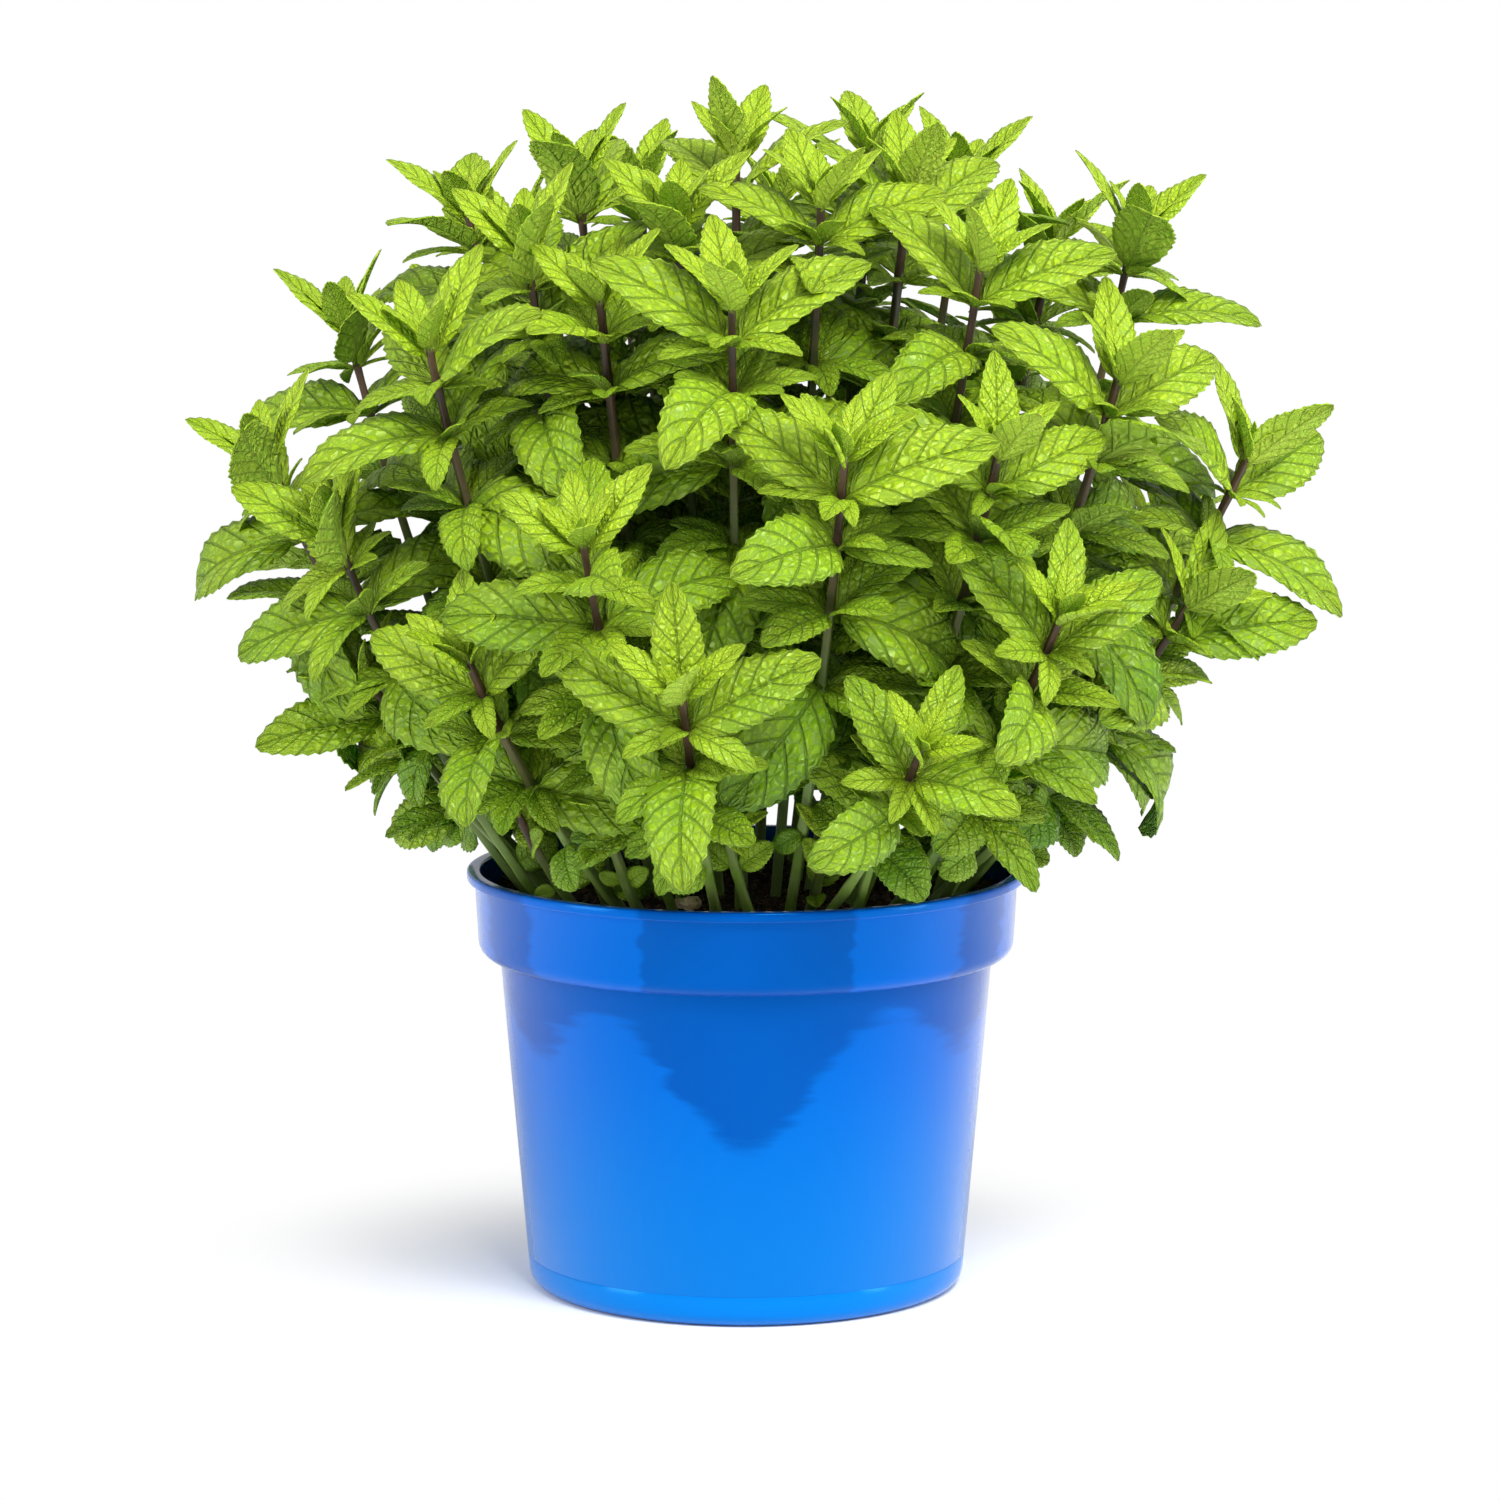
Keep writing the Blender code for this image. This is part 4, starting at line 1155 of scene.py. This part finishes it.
def leaf_tree_of_nodes():
    """Set a toothed, quilted blade on every point and bend it along its own arc."""
    nodes, given = geometry_tree("mint_blades", (
        ("Teeth", "Int", 13), ("Tooth depth", "Float", 0.12), ("Side veins", "Float", 6.5), ("Quilting", "Float", 0.07),
        ("Material", "Material", None),
    ))
    rows = nodes.math("MULTIPLY_ADD", given["Teeth"], 2, 1)
    grid = nodes.out("GeometryNodeMeshGrid", {"Size X": 1, "Size Y": 1, "Vertices X": 7, "Vertices Y": rows})
    place = nodes.node("ShaderNodeSeparateXYZ", {"Vector": nodes.out("GeometryNodeInputPosition")}).outputs
    across_blade = nodes.math("MULTIPLY", place["X"], 2)
    up_blade = nodes.math("ADD", place["Y"], 0.5)
    flat_map = nodes.out("ShaderNodeCombineXYZ", {"X": nodes.math("ADD", place["X"], 0.5), "Y": up_blade})
    own = nodes.out("ShaderNodeCombineXYZ", {"X": across_blade, "Y": up_blade})
    grid = nodes.out("GeometryNodeStoreNamedAttribute", {
        "Geometry": grid, "Name": "blade_place", "Value": own,
    }, data_type="FLOAT_VECTOR", domain="POINT")
    grid = nodes.out("GeometryNodeStoreNamedAttribute", {
        "Geometry": grid, "Name": "UVMap", "Value": flat_map,
    }, data_type="FLOAT2", domain="CORNER")
    copies = nodes.out("GeometryNodeInstanceOnPoints", {"Points": given["Geometry"], "Instance": grid})
    blades = nodes.out("GeometryNodeRealizeInstances", {"Geometry": copies})

    own = nodes.node("ShaderNodeSeparateXYZ", {"Vector": nodes.attribute("blade_place", "FLOAT_VECTOR")}).outputs
    side_share, share = own["X"], own["Y"]
    out_share = nodes.math("ABSOLUTE", side_share)
    start, along, face = (nodes.attribute(name, "FLOAT_VECTOR") for name in ("start", "along", "face"))
    length, half_width, droop, phase = (nodes.attribute(name) for name in ("length", "half_width", "droop", "phase"))
    side = nodes.vector("CROSS_PRODUCT", along, face)

    # Outline: a short stalk, then an egg-shaped blade that tapers to a point
    stalk = 0.05
    blade = nodes.math("DIVIDE", nodes.math("SUBTRACT", share, stalk), 1 - stalk, clamp=True)
    swell = nodes.math("POWER", blade, 0.5)
    point = nodes.math("MULTIPLY_ADD", nodes.attribute("youth"), 0.2, 0.58)
    taper = nodes.math("POWER", nodes.math("SUBTRACT", 1, blade, clamp=True), point)
    outline = nodes.math("MULTIPLY", nodes.math("MULTIPLY", swell, taper), 1.95)
    outline = nodes.math("MAXIMUM", outline, nodes.smooth(share, 0.0, 0.12, 0.075, 0.0))

    # Teeth point forward: their tips stand out and lean toward the leaf's tip
    beat = nodes.math("ABSOLUTE", nodes.math("SINE", nodes.math("MULTIPLY", share, nodes.math(
        "MULTIPLY", given["Teeth"], math.pi))))
    edge_only = nodes.math("POWER", out_share, 6)
    tooth = nodes.math("MULTIPLY", nodes.math("SUBTRACT", beat, 0.5), edge_only)
    wide = nodes.math("MULTIPLY_ADD", tooth, given["Tooth depth"], 1)
    half = nodes.math("MULTIPLY", nodes.math("MULTIPLY", half_width, outline), wide)
    lean = nodes.math("MULTIPLY", nodes.math("MULTIPLY", tooth, given["Tooth depth"]), 0.14)
    share_now = nodes.math("MINIMUM", nodes.math("ADD", share, lean), 1)

    # The midrib bends along an arc
    bend = nodes.math("MULTIPLY", droop, share_now)
    run = nodes.math("DIVIDE", nodes.math("MULTIPLY", length, nodes.math("SINE", bend)), droop)
    fall = nodes.math("DIVIDE", nodes.math("MULTIPLY", length, nodes.math("SUBTRACT", 1, nodes.math("COSINE", bend))),
                      droop)
    middle = nodes.along(nodes.along(start, along, run), face, nodes.math("MULTIPLY", fall, -1))
    normal = nodes.along(nodes.vector("SCALE", face, scale=nodes.math("COSINE", bend)), along,
                         nodes.math("SINE", bend))

    # Each half lifts from the midrib and arches over, and swells between its side veins
    order = nodes.math("MULTIPLY", given["Side veins"], nodes.math("SUBTRACT", share, nodes.math(
        "MULTIPLY", out_share, 0.24)))
    swell = nodes.math("POWER", nodes.math("ABSOLUTE", nodes.math("SINE", nodes.math("MULTIPLY", order, math.pi))), 0.7)
    edge_fade = nodes.math("SUBTRACT", 1, nodes.math("POWER", out_share, 5))
    rib_fade = nodes.smooth(out_share, 0.0, 0.3)
    quilt = nodes.math("MULTIPLY", nodes.math("MULTIPLY", swell, edge_fade), nodes.math(
        "MULTIPLY", rib_fade, given["Quilting"]))
    arch = nodes.math("SUBTRACT", nodes.math("MULTIPLY", out_share, 0.55), nodes.math(
        "MULTIPLY", nodes.math("MULTIPLY", out_share, out_share), 0.36))
    wave = nodes.math("SINE", nodes.math("MULTIPLY_ADD", share, 11, nodes.math("MULTIPLY_ADD", side_share, 1.3, phase)))
    wave = nodes.math("MULTIPLY", nodes.math("MULTIPLY", wave, edge_only), 0.07)
    lift = nodes.math("MULTIPLY", half, nodes.math("ADD", nodes.math("ADD", arch, quilt), wave))
    out = nodes.math("MULTIPLY", nodes.math("MULTIPLY", side_share, half), 0.96)
    spot = nodes.along(nodes.along(middle, side, out), normal, lift)
    blades = nodes.out("GeometryNodeSetPosition", {"Geometry": blades, "Position": spot})
    finish_tree(nodes, blades, True, given["Material"])
    return nodes.tree


def small_leaf(stem, station, turn, lift, length, width_share, droop, phase):
    """A young leaf of a tip or an axil, given by its turn about the stem and its lift from it, in degrees."""
    first, second = across(station.axis, stem.aside)
    out = first * math.cos(turn) + second * math.sin(turn)
    angle = math.radians(lift)
    along = (station.axis * math.cos(angle) + out * math.sin(angle)).normalized()
    face = station.axis * math.sin(angle) - out * math.cos(angle)
    start = station.place + out * station.radius * 0.6
    leaf = Leaf(start, along, face, length, length * width_share, math.radians(droop), None)
    return facing_light(leaf, 0.4), phase


def facing_light(leaf, share):
    """The leaf rolled about its own line, by a share of the way, to face out of the clump."""
    light = (leaf.start - SHADE_CENTRE).normalized()
    face = leaf.face.lerp(light, share)
    return leaf._replace(face=(face - leaf.along * face.dot(leaf.along)).normalized())


def tip_leaves(stem, rng):
    """The tight pairs of tiny leaves at a shoot's tip."""
    top = stem.stations[-1]
    made = []
    for rank, (share, lift, back) in enumerate(((0.6, 38, 2.2), (0.42, 27, 1.0), (0.25, 16, 0.0))):
        station = top._replace(place=top.place - top.axis * back * MM)
        for side in (0, 1):
            turn = stem.shoot.turn + math.pi * (side + (rank + 1) / 2) + 0.12 * rng.uniform(-1, 1)
            made.append((small_leaf(
                stem, station, turn, lift + 4 * rng.uniform(-1, 1), stem.shoot.leaf * share, 0.23,
                14 + 10 * rng.random(), rng.uniform(0, 6),
            ), 0.92 + 0.03 * rank))
    return made


def axil_leaves(stem, rng):
    """The smaller leaves of the side shoots that sprout above the larger leaves."""
    made = []
    for pair in range(1, len(stem.nodes)):
        station = stem.stations[-3 - 2 * pair]
        if station.place.z < POT_HEIGHT + 22 * MM:
            break
        for side in (0, 1):
            for swing in (-48, 42, 88):
                turn = stem.shoot.turn + math.pi * (side + pair / 2) + math.radians(swing + rng.uniform(-16, 16))
                size = stem.shoot.leaf * rng.uniform(0.46, 0.86) * min(1, 0.5 + 0.2 * pair)
                made.append((small_leaf(
                    stem, station, turn, rng.uniform(36, 82), size, 0.23, rng.uniform(25, 62), rng.uniform(0, 6),
                ), max(0.1, 0.8 - 0.13 * pair + rng.uniform(-0.1, 0.1))))
    return made


def is_over_pot(leaf):
    """Whether a leaf stays off the rim of the pot and out of the mix."""
    for share in (0.5, 0.75, 1.0):
        bend = leaf.droop * share
        run, fall = leaf.length * math.sin(bend) / leaf.droop, leaf.length * (1 - math.cos(bend)) / leaf.droop
        place = leaf.start + leaf.along * run - leaf.face * fall
        reach = place.xy.length
        if place.z < POT_HEIGHT + 4 * MM and reach > COLLAR_TOP_RADIUS - WALL - 5 * MM:
            return False
        if place.z < fill_level(reach) + 2 * MM:
            return False
    return True


def leaf_age_and_painted_light(pair, stem, rng):
    """How light a leaf is painted, from 1 at a tip to 0 deep in the clump. Lower pairs are darker, as older leaves are
    and as painted shade deep in the clump, and leaves on the tallest shoots are lighter as painted light.
    """
    # Painted light: leaves on shoots whose tips stand higher are painted lighter.
    painted_height_light = (stem.shoot.tip.z - 140 * MM) / (210 * MM)
    young = (0.84, 0.62, 0.46, 0.33, 0.22, 0.14, 0.08)[pair]
    return max(0.0, min(0.92, young + 0.3 * (painted_height_light - 0.6) + rng.uniform(-0.09, 0.09)))


class MINT_OT_leaves(bpy.types.Operator):
    """Grow the leaves of every shoot, the tiny ones at its tip and in its leaf axils included"""

    bl_idname = "mint.leaves"
    bl_label = "Leaves"

    def execute(self, context):
        settings = context.scene.mint_foliage
        stems, leaves = clump()
        tree = leaf_tree_of_nodes()
        upper = leaf_material("mint_leaf", settings.deep_leaf, settings.fresh_leaf, 0.8, 0.38, 0.9)
        lower = leaf_material(
            "mint_leaf_underside", settings.old_under, settings.young_under, 0.7, 0.6, 0.9, is_under=True
        )
        rng = random.Random(settings.seed)
        stone = sum(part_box("pale_stone"), Vector()) / 2
        for stem in stems:
            blades = []
            for (name, pair, side), leaf in leaves.items():
                if name == stem.shoot.name:
                    broad = leaf.half_width * (1.3, 1.15, 1.05, 1, 1, 1, 1)[pair]
                    is_low = leaf.start.z < POT_HEIGHT + 32 * MM
                    size, sag = (1.12, 1.08, 1, 1, 1, 1, 1)[pair], (1.2, 1.25, 1.45, 1.6, 1.6, 1.5, 1.5)[pair]
                    if is_low:
                        size, sag, broad = 0.56, 1.1, broad * 1.4
                        if leaf.start.y < stone.y and abs(leaf.start.x - stone.x) < 22 * MM:
                            size = 0.34
                    leaf = facing_light(leaf, (0.55, 0.55, 0.4, 0.25, 0.2, 0.2, 0.2)[pair])
                    leaf = leaf._replace(
                        length=leaf.length * size, half_width=broad * size, droop=leaf.droop * sag
                    )
                    blades.append(((leaf, rng.uniform(0, 6)), leaf_age_and_painted_light(pair, stem, rng)))
            small = tip_leaves(stem, rng) + axil_leaves(stem, rng)
            blades += [entry for entry in small if is_over_pot(entry[0][0])]
            name = f"{stem.shoot.name}_leaves"
            mesh = points_mesh(
                name, [leaf.start for (leaf, _), _ in blades],
                start=[leaf.start for (leaf, _), _ in blades],
                along=[leaf.along for (leaf, _), _ in blades],
                face=[leaf.face for (leaf, _), _ in blades],
                length=[leaf.length for (leaf, _), _ in blades],
                half_width=[leaf.half_width for (leaf, _), _ in blades],
                droop=[leaf.droop for (leaf, _), _ in blades],
                phase=[phase for (_, phase), _ in blades],
                youth=[youth for _, youth in blades],
            )
            piece = grown(new_object(name, mesh), tree, {
                "Teeth": settings.teeth, "Tooth depth": settings.tooth, "Side veins": settings.vein_pairs,
                "Quilting": settings.quilting, "Material": upper,
            })
            piece.data.materials.clear()
            piece.data.materials.append(upper)
            piece.data.materials.append(lower)
            wall = piece.modifiers.new("thickness", "SOLIDIFY")
            wall.thickness = settings.thickness
            wall.offset = 0
            wall.material_offset = 1
            applied(piece)
            joins(piece, stem.shoot.name)
        return {"FINISHED"}


# Stage -----------------------------------------------------------------------------------------------------

def aim(obj, target):
    obj.rotation_euler = (Vector(target) - obj.location).to_track_quat("-Z", "Y").to_euler()


def soft_light(name, place, target, size, power):
    light = bpy.data.lights.new(name, "AREA")
    light.shape = "RECTANGLE"
    light.size, light.size_y = size
    light.energy = power
    obj = bpy.data.objects.new(name, light)
    obj.location = place
    aim(obj, target)
    bpy.context.scene.collection.objects.link(obj)
    return obj


class MINT_OT_stage(bpy.types.Operator):
    """Set the plant on a plain pale floor in soft studio light, with its camera"""

    bl_idname = "mint.stage"
    bl_label = "Stage"

    def execute(self, context):
        scene = context.scene
        settings = scene.mint_stage
        bm = bmesh.new()
        bmesh.ops.create_grid(bm, x_segments=1, y_segments=1, size=6)
        mesh = bpy.data.meshes.new("studio_floor")
        bm.to_mesh(mesh)
        bm.free()
        material, nodes, shader = new_material("studio_floor")
        height, mask = grain(nodes, 4, 300)
        edge = [c * 0.985 for c in settings.floor]
        nodes.feed(nodes.blend(mask, (*settings.floor, 1), (*edge, 1)), shader.inputs["Base Color"])
        shader.inputs["Roughness"].default_value = 0.9
        # Away from the plant the floor fades into the white surround
        reach = nodes.vector("LENGTH", nodes.out("ShaderNodeTexCoord", output="Object"), output="Value")
        seen = nodes.out("ShaderNodeLightPath", output="Is Camera Ray")
        fade = nodes.math("MULTIPLY", nodes.smooth(reach, 0.07, 0.19), seen)
        white = nodes.out("ShaderNodeEmission", {"Color": (1, 1, 1, 1), "Strength": 1.0})
        mixed = nodes.out("ShaderNodeMixShader", {0: fade, 1: shader.outputs[0], 2: white})
        nodes.feed(mixed, material.node_tree.nodes["Material Output"].inputs["Surface"])
        floor = new_object("studio_floor", mesh, material)

        world = bpy.data.worlds.new("studio")
        scene.world = world
        world.use_nodes = True
        sky = Tree(world.node_tree)
        seen = sky.out("ShaderNodeLightPath", output="Is Camera Ray")
        strength = sky.math("MAXIMUM", seen, settings.world)
        sky.feed(strength, world.node_tree.nodes["Background"].inputs["Strength"])
        world.node_tree.nodes["Background"].inputs["Color"].default_value = (1, 1, 1, 1)

        centre = (0, 0, 0.2)
        soft_light("key_light", (0.5, -1.1, 1.6), centre, (0.9, 0.9), settings.key)
        soft_light("left_light", (-1.3, -0.6, 0.55), centre, (0.5, 1.2), settings.fill)
        soft_light("right_light", (1.35, -0.5, 0.5), centre, (0.35, 1.2), settings.fill * 0.8)

        camera = bpy.data.cameras.new("camera")
        camera.sensor_width = 36
        camera.lens = settings.lens
        camera.clip_start = 0.05
        viewer = bpy.data.objects.new("camera", camera)
        viewer.location = (0.0012, -1.68, 0.40)
        viewer.rotation_euler = Euler((math.radians(82), 0, 0))
        scene.collection.objects.link(viewer)
        scene.camera = viewer
        scene.view_settings.view_transform = "Standard"
        return {"FINISHED"}


class MINT_PT_panel(bpy.types.Panel):
    """Settings and pieces of the potted mint"""

    bl_label = "Potted Mint"
    bl_idname = "MINT_PT_panel"
    bl_space_type = "VIEW_3D"
    bl_region_type = "UI"
    bl_category = "Mint"

    def draw(self, context):
        for name, group in SETTINGS.items():
            box = self.layout.box()
            for key in group.__annotations__:
                box.prop(getattr(context.scene, name), key)
        for operator in OPERATORS:
            self.layout.operator(operator.bl_idname)


OPERATORS = (MINT_OT_pot, MINT_OT_potting_mix, MINT_OT_stone, MINT_OT_stems, MINT_OT_leaves, MINT_OT_stage)


def register():
    for group in SETTINGS.values():
        bpy.utils.register_class(group)
    for name, group in SETTINGS.items():
        setattr(bpy.types.Scene, name, bpy.props.PointerProperty(type=group))
    for operator in OPERATORS:
        bpy.utils.register_class(operator)
    bpy.utils.register_class(MINT_PT_panel)


def unregister():
    bpy.utils.unregister_class(MINT_PT_panel)
    for operator in reversed(OPERATORS):
        bpy.utils.unregister_class(operator)
    for name, group in SETTINGS.items():
        delattr(bpy.types.Scene, name)
        bpy.utils.unregister_class(group)


def main():
    register()
    bpy.ops.mint.pot()
    bpy.ops.mint.potting_mix()
    bpy.ops.mint.stone()
    bpy.ops.mint.stems()
    bpy.ops.mint.leaves()
    bpy.ops.mint.stage()
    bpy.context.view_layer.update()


if __name__ == "__main__":
    main()
